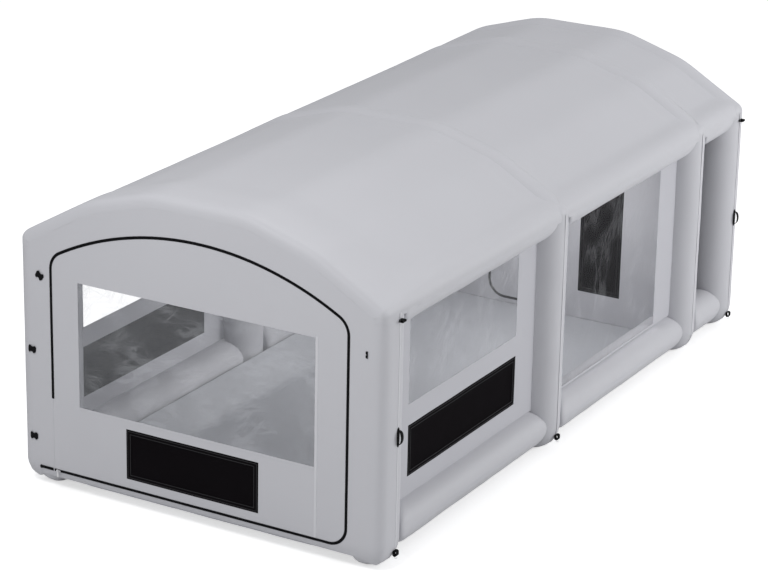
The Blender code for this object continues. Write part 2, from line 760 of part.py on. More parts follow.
def make_ground_sheet(material):
    """A tub: flat in the middle, rising to both sides and to the front panel's lower edge."""
    rim = FLOOR_RIM
    rear = REAR_PLANE - SHEET - FLOOR_END_INSET
    stations = ((FLOOR_END_INSET, PANEL_BOTTOM), (THRESHOLD_LENGTH, 0), (rear, 0))
    bottom, top = [], []
    for y, rise in stations:
        low = [(-rim, BASE_Z - SHEET), (-FLOOR_HALF, rise), (FLOOR_HALF, rise), (rim, BASE_Z - SHEET)]
        high = [(-rim + SHEET, BASE_Z), (-FLOOR_HALF, rise + SHEET)]
        high += [(FLOOR_HALF, rise + SHEET), (rim - SHEET, BASE_Z)]
        bottom.append([at(x, y, z) for x, z in low])
        top.append([at(x, y, z) for x, z in high])
    add_piece("ground_sheet", sheet_body(bottom, top), material)


# Webbing


def make_tie_backs(webbing):
    """Bow-shaped straps that hold the rolled door to the left column of the first arch."""
    for name, inset, z in zip(TIE_NAMES, TIE_INSETS, TIE_LEVELS):
        x = inset - HALF_WIDTH
        on_panel = abs(x) < WALL_X
        offset = 0 if on_panel else x + COLUMN_X
        lean = -math.asin(offset / COLUMN_RADIUS)
        along = Vector((math.cos(lean), -math.sin(lean), 0))
        out = Vector((-math.sin(lean), -math.cos(lean), 0))
        front = -PANEL_FRONT if on_panel else COLUMN_RADIUS - chord(COLUMN_RADIUS, offset)
        top = at(x, front, z + TIE_HEIGHT / 2) + out * GAP
        half, pinch = TIE_WIDTH / 2, (TIE_HEIGHT - TIE_WAIST) / 2
        outline = [(half, -TIE_HEIGHT), (half, 0), (0, -pinch)]
        outline += [(-half, 0), (-half, -TIE_HEIGHT), (0, pinch - TIE_HEIGHT)]
        body = plate_body(facing_out(top, along, out), outline, [], WEB)
        add_piece("tie_back_" + name, body, webbing, top + out * WEB / 2)


def make_keeper(webbing):
    depth = COLUMN_RADIUS - chord(COLUMN_RADIUS, KEEPER_X - COLUMN_X)
    across, up = KEEPER_WIDTH / 2, KEEPER_HEIGHT / 2
    outline = [(KEEPER_X - across, KEEPER_Z - up), (KEEPER_X + across, KEEPER_Z - up)]
    outline += [(KEEPER_X + across, KEEPER_Z + up), (KEEPER_X - across, KEEPER_Z + up)]
    front = min(-PANEL_FRONT, depth) - GAP
    add_piece("door_keeper", plate_body(facing_front(front), outline, [], WEB), webbing)


def strap_section(centre, normal, width):
    """Four corners of a strap across its path; its width runs along y."""
    corners = []
    for w, t in ((-1, -1), (1, -1), (1, 1), (-1, 1)):
        corners.append(centre + Vector((0, w * width / 2, 0)) + normal * (t * WEB / 2))
    return corners


def make_carry_handle(side, index, webbing):
    """A bowed strap on a column's outer seam, sewn down at narrow ends."""
    axis_x = HALF_WIDTH + HANDLE_STANDOFF
    pivot = at(side * axis_x, ARCH_Y[index], HANDLE_Z)
    sections = []
    for k in range(HANDLE_STEPS + 1):
        turn = math.pi * k / HANDLE_STEPS
        bow = HANDLE_BOW * math.sin(turn)
        rise = -HANDLE_HEIGHT / 2 * math.cos(turn)
        spread = min(1.0, HANDLE_TAPER * math.sin(turn))
        width = HANDLE_END_WIDTH + (HANDLE_WIDTH - HANDLE_END_WIDTH) * spread
        normal = Vector((side * HANDLE_HEIGHT / 2 * math.sin(turn), 0, -HANDLE_BOW * math.cos(turn)))
        if k in (0, HANDLE_STEPS):
            normal = Vector((side, 0, 0))
        centre = pivot + Vector((side * bow, 0, rise))
        sections.append(strap_section(centre, normal.normalized(), width))
    name = f"carry_handle_{ARCH_NAMES[index]}_{SIDE_NAMES[side]}"
    add_piece(name, swept_body(sections), webbing, pivot)


def make_anchor_loop(side, index, webbing):
    """A webbing loop for a peg or a rope, sewn to a column's foot."""
    level = min(LOOP_Z + LOOP_HEIGHT / 2, FOOT_CENTRE_Z)
    start = COLUMN_X + chord(COLUMN_RADIUS, FOOT_CENTRE_Z - level) + GAP + WEB / 2
    radius = LOOP_HEIGHT / 4
    u_range = (start, start + LOOP_REACH)
    v_range = (LOOP_Z - LOOP_HEIGHT / 2, LOOP_Z + LOOP_HEIGHT / 2)
    line = rounded_rectangle(u_range, v_range, radius)
    middle = Vector((sum(u_range) / 2, LOOP_Z))
    sections = []
    for k, (u, v) in enumerate(line):
        before, after = Vector(line[k - 1]), Vector(line[(k + 1) % len(line)])
        along = (after - before).normalized()
        normal = Vector((side * along.y, 0, -along.x))
        sections.append(strap_section(at(side * u, ARCH_Y[index], v), normal, LOOP_WIDTH))
    name = f"anchor_loop_{ARCH_NAMES[index]}_{SIDE_NAMES[side]}"
    add_piece(name, swept_body(sections, closed=True), webbing)


def build():
    for old in list(bpy.data.objects):
        bpy.data.objects.remove(old, do_unlink=True)
    fabric = make_material("booth_fabric", (0.50, 0.51, 0.54), 0.55)
    floor = make_material("floor_fabric", (0.42, 0.44, 0.47), 0.60)
    film = make_material("clear_film", (0.90, 0.92, 0.94), 0.10, alpha=0.35)
    filter_cloth = make_material("filter_cloth", (0.008, 0.006, 0.008), 0.95)
    webbing = make_material("webbing", (0.01, 0.01, 0.012), 0.80)
    zip_tape = make_material("zip_tape", (0.006, 0.006, 0.007), 0.70)
    metal = make_material("zip_metal", (0.62, 0.63, 0.65), 0.35, metallic=1.0)

    for index in range(len(ARCH_Y)):
        make_arch(index, fabric)
    for side in (EAST, WEST):
        for bay in range(len(BAY_LENGTHS)):
            make_long_tubes(side, bay, fabric)
        for bay in (0, 1):
            make_side_wall(side, bay, fabric, film, filter_cloth)
        make_chamber_wall(side, fabric)
        for index in (0, len(ARCH_Y) - 1):
            make_carry_handle(side, index, webbing)
        for index in (0, 1, len(ARCH_Y) - 1):
            make_anchor_loop(side, index, webbing)
    make_roof(fabric)
    door = make_front(fabric, film, filter_cloth, zip_tape)
    make_pull(make_slider(door, metal), metal)
    make_partition(fabric, filter_cloth, metal)
    make_rear(fabric)
    make_ground_sheet(floor)
    make_tie_backs(webbing)
    make_keeper(webbing)


build()
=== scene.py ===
# %% [markdown]
# # An inflatable paint booth
#
# The real booth is sewn and welded from coated cloth. Four arches of air tube stand up
# when a blower fills them, base and eave tubes join them, and flat cut sheets close the
# bays. This lesson dresses a plain solid model of it: the tubes are swept along their
# outline, and each sheet is first cut flat and then laid over the tubes.

# %% Load the fixed frame
import math

import bmesh
import bpy
import numpy as np
from mathutils import Matrix, Vector, noise
from mathutils.geometry import delaunay_2d_cdt


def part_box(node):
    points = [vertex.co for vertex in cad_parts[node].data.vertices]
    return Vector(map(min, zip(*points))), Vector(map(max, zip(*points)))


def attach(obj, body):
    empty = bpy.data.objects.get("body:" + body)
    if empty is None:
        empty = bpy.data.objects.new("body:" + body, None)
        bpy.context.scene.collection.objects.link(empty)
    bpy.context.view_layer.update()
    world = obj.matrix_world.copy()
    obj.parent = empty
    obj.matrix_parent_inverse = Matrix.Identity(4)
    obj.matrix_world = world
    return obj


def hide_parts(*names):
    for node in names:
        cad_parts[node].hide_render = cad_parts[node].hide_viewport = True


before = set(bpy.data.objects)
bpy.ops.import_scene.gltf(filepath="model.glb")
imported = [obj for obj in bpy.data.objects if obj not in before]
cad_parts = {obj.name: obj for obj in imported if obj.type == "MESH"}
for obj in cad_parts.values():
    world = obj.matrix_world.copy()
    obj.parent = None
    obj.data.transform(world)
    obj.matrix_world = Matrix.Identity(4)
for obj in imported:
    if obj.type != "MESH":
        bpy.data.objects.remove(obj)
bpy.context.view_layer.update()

# %% [markdown]
# ## Sizes
#
# The solids already hold the real sizes, so most values are read from their boxes. What a
# box can't tell, such as slopes and bends, is written again. `INNER_SHARE` flattens the
# half of an arch that faces into the booth, and `UNDER` keeps the tubes a little inside
# their solids, so that their unevenness doesn't stand out of them. Lengths are in metres.

# %% Read the main sizes from the frame
EAVE_HEIGHT = 1.935
LOW_SLOPE = math.radians(30.0)
KNEE_X = 0.946
HIGH_SLOPE = math.radians(16.3)
CROWN_X = 0.40
FOOT_FLAT = math.radians(15.0)
ARCH_NAMES = ("front", "second", "third", "rear")
SIDES = {"right": 1, "left": -1}


def box(node):
    """The lowest and highest corners of a solid as arrays."""
    low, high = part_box(node)
    return np.array(low), np.array(high)


def middle(node):
    """The middle of a solid's box."""
    low, high = box(node)
    return (low + high) / 2


def span(node, axis):
    """A solid's length along an axis."""
    low, high = box(node)
    return high[axis] - low[axis]


def box_sides(node, u_axis, v_axis):
    """A solid's lowest and highest place along two axes."""
    low, high = box(node)
    return (low[u_axis], high[u_axis]), (low[v_axis], high[v_axis])


ARCH_Y = [middle("arch_" + name)[1] for name in ARCH_NAMES]
(_, HALF_WIDTH), (FRONT_Y, _) = box_sides("arch_front", 0, 1)
TUBE = span("arch_front", 1) / 2
COLUMN_X = HALF_WIDTH - TUBE
FOOT_CENTRE = TUBE * math.cos(FOOT_FLAT)
BASE_X, BASE_Z = middle("base_tube_right_1")[[0, 2]]
BASE_RADIUS = span("base_tube_right_1", 0) / 2
EAVE_X, EAVE_Z = middle("eave_tube_right_1")[[0, 2]]
EAVE_RADIUS = span("eave_tube_right_1", 0) / 2
WALL_X = box("side_wall_right_1")[1][0]
CHAMBER_WALL_X = box("side_wall_right_3")[1][0]
ROOF_DROP = 0.035
EDGE = 0.09
SQUARENESS = 6.0
EAVE_BEND = 0.075
SLOPE_BEND = 0.80
INNER_SHARE = 0.65
UNDER = 0.0015
CLOTH = 0.001
FILM_THICKNESS = 0.0006
SHARP = math.radians(50)
print("arches at", np.round(ARCH_Y, 3), "tube radius", round(TUBE, 3))

# %% [markdown]
# ## Outline of an arch
#
# All four arches share one outline: an upright, a 30 degree slope, a 16 degree slope and
# a flat crown. The cloth rounds each bend a little, so the outline is a chain of straight
# runs joined by small arcs, and any depth inside it gives the path of another line of the
# tube.

# %% Draw the outline at any depth
EAVE = np.array([HALF_WIDTH, EAVE_HEIGHT])
KNEE = EAVE + (HALF_WIDTH - KNEE_X) * np.array([-1, math.tan(LOW_SLOPE)])
CROWN = KNEE + (KNEE_X - CROWN_X) * np.array([-1, math.tan(HIGH_SLOPE)])
EDGES = [
    (EAVE, np.array([1.0, 0.0])),
    (EAVE, np.array([math.sin(LOW_SLOPE), math.cos(LOW_SLOPE)])),
    (KNEE, np.array([math.sin(HIGH_SLOPE), math.cos(HIGH_SLOPE)])),
    (CROWN, np.array([0.0, 1.0])),
]


def inner_corner(k, depth):
    """Where two neighbouring edges cross after both move inwards by depth."""
    (p, n), (q, m) = EDGES[k], EDGES[k + 1]
    return np.linalg.solve(np.array([n, m]), [n @ p - depth, m @ q - depth])


def height_at(x, depth):
    """Height of the slopes and the crown at x, moved inwards by depth."""
    runs = [(n @ p - depth - n[0] * np.abs(x)) / n[1] for p, n in EDGES[1:]]
    return np.minimum.reduce(runs)


def rounded_run(corners, radii, runs, turn_steps=8):
    """Points and outward normals along straight runs joined by arcs."""
    corners = [np.array(c, float) for c in corners]
    ahead = [(b - a) / np.linalg.norm(b - a) for a, b in zip(corners, corners[1:])]
    cuts = [0.0]
    for k, r in enumerate(radii):
        turn = math.acos(np.clip(ahead[k] @ ahead[k + 1], -1, 1))
        cuts.append(r * math.tan(turn / 2))
    cuts.append(0.0)
    points, normals = [], []
    for k, way in enumerate(ahead):
        start, end = corners[k] + way * cuts[k], corners[k + 1] - way * cuts[k + 1]
        side = np.array([-way[1], way[0]])
        for t in np.linspace(0, 1, runs[k]):
            points.append(start + (end - start) * t)
            normals.append(side)
        if k < len(radii):
            after = np.array([-ahead[k + 1][1], ahead[k + 1][0]])
            hub = end - side * radii[k]
            for t in np.linspace(0, 1, turn_steps + 2)[1:-1]:
                blend = side * (1 - t) + after * t
                blend = blend / np.linalg.norm(blend)
                points.append(hub + blend * radii[k])
                normals.append(blend)
    return np.array(points), np.array(normals)


def outline(depth, eave_bend, foot, runs=(56, 22, 20, 28)):
    """The whole outline from the left foot over the crown to the right foot."""
    side = [np.array([HALF_WIDTH - depth, foot])] + [inner_corner(k, depth) for k in range(3)]
    left = [c * [-1, 1] for c in side]
    bends = [eave_bend, SLOPE_BEND, SLOPE_BEND]
    steps = list(runs[:3]) + [runs[3]] + list(runs[:3])[::-1]
    return rounded_run(left + side[::-1], bends + bends[::-1], steps)


print("crown height", round(float(CROWN[1]), 4))


def arch_reach(x, z):
    """Distance along y from an arch's middle to its round side at a place."""
    place = np.array([abs(x), z])
    outwards = max(float(normal @ (place - point)) for point, normal in EDGES) + TUBE
    outwards /= INNER_SHARE if outwards < 0 else 1.0
    return math.sqrt(max(TUBE**2 - outwards**2, 0.0))


# %% [markdown]
# ## Helpers that make a mesh
#
# A tube or a strap is a grid of points, so one helper turns a grid into quads. Every piece
# keeps its object at the origin and rides on a body, and the solid that a piece stands for
# is hidden. A UV map named `cut` holds the cloth's own flat metres, so a weave follows the
# cloth.

# %% Make pieces from grids of points
def finish_piece(piece, material, body="booth_frame", replaces=()):
    """Give a finished mesh its material and its body, and hide the solids it stands for."""
    piece.data.materials.clear()
    piece.data.materials.append(material)
    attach(piece, body)
    if replaces:
        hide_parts(*replaces)
    return piece


def mesh_object(name, points, faces, flat=None):
    """A new smooth object from points and faces, with flat metres as its UV map."""
    mesh = bpy.data.meshes.new(name)
    mesh.from_pydata([tuple(p) for p in points], [], [tuple(f) for f in faces])
    mesh.update()
    if flat is not None:
        layer = mesh.uv_layers.new(name="cut")
        corners = np.zeros(len(mesh.loops), int)
        mesh.loops.foreach_get("vertex_index", corners)
        layer.data.foreach_set("uv", np.asarray(flat, np.float32)[corners].ravel())
    mesh.shade_smooth()
    piece = bpy.data.objects.new(name, mesh)
    bpy.context.scene.collection.objects.link(piece)
    return piece


def grid_faces(rows, columns, wrap=False):
    """Quads of a grid; wrap joins the last column to the first."""
    faces = []
    last = columns if wrap else columns - 1
    for i in range(rows - 1):
        for k in range(last):
            n = (k + 1) % columns
            faces.append((i * columns + k, i * columns + n, (i + 1) * columns + n, (i + 1) * columns + k))
    return faces


def point_outwards(piece):
    """Recalculate a closed mesh's normals so that its faces look out."""
    bm = bmesh.new()
    bm.from_mesh(piece.data)
    bmesh.ops.recalc_face_normals(bm, faces=bm.faces)
    bm.to_mesh(piece.data)
    bm.free()
    return piece


def apply_modifiers(piece):
    """Turn the piece with its modifiers into a plain mesh."""
    graph = bpy.context.evaluated_depsgraph_get()
    mesh = bpy.data.meshes.new_from_object(piece.evaluated_get(graph))
    piece.modifiers.clear()
    old = piece.data
    piece.data = mesh
    mesh.name = piece.name
    bpy.data.meshes.remove(old)
    return piece


def thicken(piece, thickness, outward):
    """Turn the faces outwards, then give the sheet its thickness on the inside."""
    mesh = piece.data
    outward = np.asarray(outward, float)
    if outward.ndim == 1:
        outward = np.tile(outward, (len(mesh.vertices), 1))
    sides = [Vector(outward[list(f.vertices)].mean(axis=0)).dot(f.normal) for f in mesh.polygons]
    if sum(1 if side > 0 else -1 for side in sides) < 0:
        mesh.flip_normals()
    solid = piece.modifiers.new("thickness", "SOLIDIFY")
    solid.thickness = thickness
    solid.offset = -1.0
    apply_modifiers(piece)
    piece.data.set_sharp_from_angle(angle=SHARP)
    return piece


# %% [markdown]
# ## Noise that acts like cloth
#
# Blown-up cloth is never quite even. Two octaves of smooth noise, a millimetre or two
# deep, keep long surfaces from looking machined.

# %% Make soft unevenness
def ripple(points, size, depth, seed=0.0):
    """A smooth random height for each point, with bumps about `size` metres long."""
    shift = Vector((seed, seed * 1.7, -seed * 0.6))
    heights = [noise.noise(Vector(p) / size + shift) for p in points]
    return depth * np.array(heights)


def skin(points, normals, depth=0.0012):
    """Points of the outer skin, pushed along their normals by one shared unevenness."""
    points = np.asarray(points, float)
    height = ripple(points, 0.30, depth, 1.0) + ripple(points, 0.11, depth * 0.3, 6.0)
    return points + np.asarray(normals) * height[:, None]


def smoothstep(low, high, x):
    """A soft step from 0 at low to 1 at high."""
    t = np.clip((np.asarray(x, float) - low) / (high - low), 0, 1)
    return t * t * (3 - 2 * t)


# %% [markdown]
# ## Helpers that build node trees
#
# Materials and repeated shapes both come from node trees. `add_node` makes a node and
# feeds its inputs in one line, and small helpers stand for the nodes used most.

# %% Write node trees in short lines
def feed(tree, socket, source):
    """Give an input a value, or link another node's output to it."""
    if isinstance(source, bpy.types.NodeSocket):
        tree.links.new(source, socket)
    elif source is not None:
        socket.default_value = source


def add_node(tree, kind, **settings):
    """A node with its settings; in_NAME feeds the input NAME, and in_0 the first one."""
    node = tree.nodes.new(kind)
    for key, value in settings.items():
        if key.startswith("in_"):
            label = key[3:].replace("_", " ")
            feed(tree, node.inputs[int(label) if label.isdigit() else label], value)
        else:
            setattr(node, key, value)
    return node


def math_node(tree, operation, *sources):
    """The result of a Math node fed by sockets or numbers."""
    node = add_node(tree, "ShaderNodeMath", operation=operation)
    for socket, source in zip(node.inputs, sources):
        feed(tree, socket, source)
    return node.outputs[0]


def noise_value(tree, place, scale, detail, **settings):
    """The value of a noise texture at a place."""
    node = add_node(tree, "ShaderNodeTexNoise", in_Vector=place, in_Scale=scale, in_Detail=detail, **settings)
    return node.outputs["Fac"]


def map_range(tree, value, low, high, **settings):
    """Map a value, from 0 to 1 if nothing else is set, to the range from low to high."""
    node = add_node(tree, "ShaderNodeMapRange", in_Value=value, in_To_Min=low, in_To_Max=high, **settings)
    return node.outputs["Result"]


def bump(tree, height, distance, normal=None):
    """A bumped normal, which can build on another one."""
    node = add_node(tree, "ShaderNodeBump", in_Strength=1.0, in_Distance=distance, in_Height=height,
                    in_Normal=normal)
    return node.outputs["Normal"]


def new_group(name, label, value, outputs):
    """A shader group that takes a place and one number, and puts out numbers."""
    tree = bpy.data.node_groups.new(name, "ShaderNodeTree")
    tree.interface.new_socket("Vector", in_out="INPUT", socket_type="NodeSocketVector")
    tree.interface.new_socket(label, in_out="INPUT", socket_type="NodeSocketFloat").default_value = value
    for output in outputs:
        tree.interface.new_socket(output, in_out="OUTPUT", socket_type="NodeSocketFloat")
    return tree, tree.nodes.new("NodeGroupInput").outputs, tree.nodes.new("NodeGroupOutput").inputs


# %% [markdown]
# ## Shader groups for cloth and film
#
# Weave, handling marks and creases show on several materials, so each is a shader node
# group with named inputs. They put out only values and heights, and the Principled BSDF
# stays in the material.

# %% Build the shader groups
def make_weave_group():
    """Plain weave: threads over and under each other, in flat metres."""
    tree, given, out = new_group("plain_weave", "Thread", 0.001, ["Height"])
    split = add_node(tree, "ShaderNodeSeparateXYZ", in_0=given["Vector"])
    waves = []
    for axis in ("X", "Y"):
        counted = math_node(tree, "DIVIDE", split.outputs[axis], given["Thread"])
        waves.append(math_node(tree, "SINE", math_node(tree, "MULTIPLY", counted, math.pi)))
    feed(tree, out["Height"], math_node(tree, "ABSOLUTE", math_node(tree, "MULTIPLY", *waves)))
    return tree


def make_handling_group():
    """Soft marks where coated cloth was folded and rubbed: a mask and a height."""
    tree, given, out = new_group("handling_marks", "Size", 0.5, ["Mask", "Height"])
    scale = math_node(tree, "DIVIDE", 1.0, given["Size"])
    broad_scale, crease_scale = (math_node(tree, "MULTIPLY", scale, factor) for factor in (1.0, 2.6))
    feed(tree, out["Mask"], noise_value(tree, given["Vector"], broad_scale, 3.0, in_Roughness=0.55))
    creases = noise_value(tree, given["Vector"], crease_scale, 4.0, in_Roughness=0.6, in_Distortion=0.8)
    ridge = math_node(tree, "ABSOLUTE", math_node(tree, "SUBTRACT", creases, 0.5))
    feed(tree, out["Height"], math_node(tree, "SUBTRACT", 0.5, ridge))
    return tree


def make_crease_group():
    """Long thin pale streaks along a main way, partly milky film where it was folded and partly painted
    reflection of the creases, and a broad haze.
    """
    tree, given, out = new_group("film_creases", "Angle", 0.0, ["Streaks", "Haze"])
    place = given["Vector"]
    lines = []
    for swing, along, across in ((0.0, 1.1, 11.0), (0.35, 1.6, 15.0), (-0.55, 2.2, 7.0)):
        angle = math_node(tree, "ADD", given["Angle"], swing)
        turned = add_node(tree, "ShaderNodeVectorRotate", rotation_type="Z_AXIS",
                          in_Vector=place, in_Angle=angle)
        drawn = add_node(tree, "ShaderNodeVectorMath", operation="MULTIPLY",
                         in_0=turned.outputs["Vector"], in_1=(along, across, 1.0))
        field = noise_value(tree, drawn.outputs["Vector"], 1.0, 2.0)
        away = math_node(tree, "ABSOLUTE", math_node(tree, "SUBTRACT", field, 0.5))
        lines.append(map_range(tree, away, 1.0, 0.0, interpolation_type="SMOOTHSTEP", in_From_Max=0.045))
    streaks = math_node(tree, "MAXIMUM", math_node(tree, "MAXIMUM", lines[0], lines[1]), lines[2])
    patches = map_range(tree, noise_value(tree, place, 3.2, 1.0), 0.0, 1.0,
                        interpolation_type="SMOOTHSTEP", in_From_Min=0.40, in_From_Max=0.62)
    feed(tree, out["Streaks"], math_node(tree, "MULTIPLY", streaks, patches))
    feed(tree, out["Haze"], noise_value(tree, place, 1.6, 3.0))
    return tree


WEAVE = make_weave_group()
HANDLING = make_handling_group()
CREASES = make_crease_group()

# %% [markdown]
# ## Cloth, film and metal
#
# The booth's cloth is polyester with a thin coat: a satin sheen, a fine weave that shows
# only from close by, and faint marks from packing. The same recipe with other values makes
# the filter mat, the webbing and the threads. The windows are clear film, a little milky,
# and the films of the sides are clearer than the door's.

# %% Make the materials
def new_material(name, **settings):
    """A material, its tree and its shader, with values for the shader's inputs."""
    material = bpy.data.materials.new(name)
    material.use_nodes = True
    shader = material.node_tree.nodes["Principled BSDF"]
    for key, value in settings.items():
        shader.inputs[key.replace("_", " ")].default_value = value
    return material, material.node_tree, shader


def coordinates(tree):
    """Flat metres on the cloth, and the place in space."""
    flat = add_node(tree, "ShaderNodeUVMap", uv_map="cut")
    return flat.outputs["UV"], add_node(tree, "ShaderNodeTexCoord").outputs["Object"]


def cloth_material(name, colour, roughness, thread, weave_depth, mark_depth, mottle, specular):
    """A woven finish that follows the `cut` UV map, with marks in object space."""
    material, tree, shader = new_material(name, Specular_IOR_Level=specular)
    flat, place = coordinates(tree)
    weave = add_node(tree, "ShaderNodeGroup", node_tree=WEAVE, in_Vector=flat, in_Thread=thread)
    marks = add_node(tree, "ShaderNodeGroup", node_tree=HANDLING, in_Vector=place, in_Size=0.5)
    mask = marks.outputs["Mask"]
    dark, pale = ([min(1, c * (1 + way * mottle)) for c in colour] + [1] for way in (-1, 1))
    tint = add_node(tree, "ShaderNodeMix", data_type="RGBA", in_A=dark, in_B=pale, in_Factor=mask)
    feed(tree, shader.inputs["Base Color"], tint.outputs["Result"])
    feed(tree, shader.inputs["Roughness"], map_range(tree, mask, roughness - 0.05, roughness + 0.06))
    creased = bump(tree, marks.outputs["Height"], mark_depth)
    feed(tree, shader.inputs["Normal"], bump(tree, weave.outputs["Height"], weave_depth, creased))
    return material


def film_material(name, colour, alpha, roughness, angle, streak, specular):
    """Clear PVC film: mostly see-through, a little milky, with pale streaks where it was folded, partly milky
    film and partly painted reflection.
    """
    material, tree, shader = new_material(
        name, Base_Color=(*colour, 1), Roughness=roughness, Specular_IOR_Level=specular)
    flat, place = coordinates(tree)
    marks = add_node(tree, "ShaderNodeGroup", node_tree=HANDLING, in_Vector=place, in_Size=0.35)
    creases = add_node(tree, "ShaderNodeGroup", node_tree=CREASES, in_Vector=flat, in_Angle=angle)
    clear = map_range(tree, creases.outputs["Haze"], alpha * 0.6, alpha * 1.4)
    # The streaks add pale film: partly milky folds, partly painted reflection of the creases.
    streak_milk_and_reflection = math_node(tree, "MULTIPLY", creases.outputs["Streaks"], streak)
    feed(tree, shader.inputs["Alpha"], math_node(tree, "ADD", clear, streak_milk_and_reflection))
    feed(tree, shader.inputs["Normal"], bump(tree, marks.outputs["Height"], 0.004))
    return material


def metal_material(name, colour, roughness):
    """Cast zinc with fine tumbling marks."""
    material, tree, shader = new_material(name, Base_Color=(*colour, 1), Metallic=1.0)
    grain = noise_value(tree, coordinates(tree)[1], 900.0, 2.0)
    feed(tree, shader.inputs["Roughness"], map_range(tree, grain, roughness - 0.08, roughness + 0.1))
    return material


# Each row: colour, roughness, thread pitch, depth of the weave, depth of the marks,
# mottle and specular level.
WOVEN = {
    "booth_cloth": ((0.56, 0.56, 0.59), 0.50, 0.0012, 0.00008, 0.0012, 0.015, 0.3),
    # The walls' copy of the booth's cloth is a little darker: painted shade for the weaker light on the
    # walls.
    "wall_cloth_painted_shade": ((0.52, 0.52, 0.555), 0.50, 0.0012, 0.00008, 0.0012, 0.015, 0.3),
    "floor_cloth": ((0.50, 0.51, 0.54), 0.55, 0.0016, 0.0001, 0.006, 0.03, 0.3),
    # The rear bay's wall is nearly black: painted shade for the deep slot between its columns.
    "chamber_painted_shade_cloth": ((0.03, 0.03, 0.035), 0.6, 0.0012, 0.00008, 0.0012, 0.03, 0.3),
    # The seams' cloth is paler; on the column seams this is partly painted highlight for the light their
    # raised edge catches.
    "seam_cloth_pale_and_painted_highlight": ((0.64, 0.64, 0.67), 0.42, 0.0012, 0.00008, 0.0006, 0.015, 0.3),
    "filter_mat": ((0.005, 0.004, 0.005), 0.95, 0.004, 0.0003, 0.003, 0.3, 0.05),
    "piping_weave": ((0.018, 0.018, 0.020), 0.7, 0.0015, 0.0002, 0.0003, 0.1, 0.3),
    "webbing_weave": ((0.006, 0.006, 0.007), 0.85, 0.0022, 0.0004, 0.0004, 0.2, 0.12),
    "zip_tape_weave": ((0.005, 0.005, 0.006), 0.8, 0.0012, 0.0002, 0.0003, 0.2, 0.12),
    "thread_grey": ((0.04, 0.04, 0.043), 0.6, 0.0008, 0.0001, 0.0001, 0.1, 0.3),
    "thread_pale": ((0.60, 0.60, 0.63), 0.6, 0.0008, 0.0001, 0.0001, 0.05, 0.3),
}
(BOOTH, WALL_SHADED_CLOTH, FLOOR_CLOTH, CHAMBER_SHADE_CLOTH, SEAM_TINT_AND_HIGHLIGHT, FILTER, PIPING_CLOTH, WEBBING, TAPE,
 THREAD_GREY, THREAD_PALE) = (cloth_material(name, *values) for name, values in WOVEN.items())
FILM = film_material("clear_film_creased", (0.84, 0.86, 0.90), 0.070, 0.14, -0.2, 0.06, 0.35)
SIDE_FILM = [
    film_material("side_film_milky", (0.86, 0.87, 0.91), 0.05, 0.20, -1.05, 0.06, 0.15),
    film_material("side_film_clear", (0.86, 0.87, 0.91), 0.015, 0.20, -1.05, 0.035, 0.05),
]
METAL = metal_material("zip_zinc", (0.86, 0.86, 0.87), 0.34)

# %% [markdown]
# ## Air tubes of the arches
#
# Each arch is one tube bent at the eaves and the knees. A line of the tube at the angle
# `a` runs along the outline at the depth `r - r cos a`, so the whole tube is a grid: one
# row for each line. On the flatter half that faces into the booth the cosine counts less.
# Domed feet close both ends.

# %% Sweep the arch tubes
TUBE_SIDES = 72
DOME_RINGS = 8
FOOT_FULLNESS = 2.2
LEAST_BEND = 0.03


def foot_scale(z):
    """How much a foot has drawn in at the height z; 1 is the full tube."""
    t = np.clip((FOOT_CENTRE - np.asarray(z, float)) / TUBE, 0, math.cos(FOOT_FLAT))
    return (1 - t**FOOT_FULLNESS) ** (1 / FOOT_FULLNESS)


def arch_ring_grid(arch_y):
    """Rings of points from the left foot to the right foot of one arch."""
    radius = TUBE - UNDER
    lines = []
    for k in range(TUBE_SIDES):
        angle = 2 * math.pi * k / TUBE_SIDES
        across = math.cos(angle) * (1.0 if math.cos(angle) > 0 else INNER_SHARE)
        depth = TUBE - radius * across
        bend = max(EAVE_BEND - 0.12 * depth, LEAST_BEND)
        path, _ = outline(depth, bend, FOOT_CENTRE)
        y = arch_y + radius * math.sin(angle)
        side = []
        for ring in range(DOME_RINGS):
            turn = FOOT_FLAT + (math.pi / 2 - FOOT_FLAT) * ring / DOME_RINGS
            z = max(FOOT_CENTRE - TUBE * math.cos(turn), 0.0)
            drawn = radius * foot_scale(z)
            side.append((COLUMN_X + drawn * across, arch_y + drawn * math.sin(angle), z))
        left = [(-x, py, z) for x, py, z in side]
        lines.append(left + [(x, y, z) for x, z in path] + side[::-1])
    return np.array(lines).transpose(1, 0, 2)


def make_arch_tube(name, arch_y, seed):
    """One arch; the front one stays inside its solid, because cloth lies round it."""
    rings = arch_ring_grid(arch_y)
    centres = rings.mean(axis=1)
    out = rings - centres[:, None, :]
    out /= np.linalg.norm(out, axis=2, keepdims=True) + 1e-9
    plain = rings.reshape(-1, 3)
    swell = ripple(plain, 0.22, 0.0022, seed) + ripple(plain, 0.07, 0.0005, seed + 3)
    if name == "front":
        swell = np.minimum(swell, 0) - 0.0005
    above = smoothstep(0.02, 0.12, plain[:, 2])
    points = plain + out.reshape(-1, 3) * (swell * above)[:, None]
    count = len(rings)
    faces = grid_faces(count, TUBE_SIDES, wrap=True)
    faces += [tuple(range(TUBE_SIDES))[::-1], tuple((count - 1) * TUBE_SIDES + k for k in range(TUBE_SIDES))]
    steps = np.concatenate([[0], np.cumsum(np.linalg.norm(np.diff(centres, axis=0), axis=1))])
    flat = np.array([(TUBE * 2 * math.pi * k / TUBE_SIDES, s) for s in steps for k in range(TUBE_SIDES)])
    piece = mesh_object(f"arch_{name}_tube", points, faces, flat)
    point_outwards(piece)
    return finish_piece(piece, BOOTH, replaces=[f"arch_{name}"])


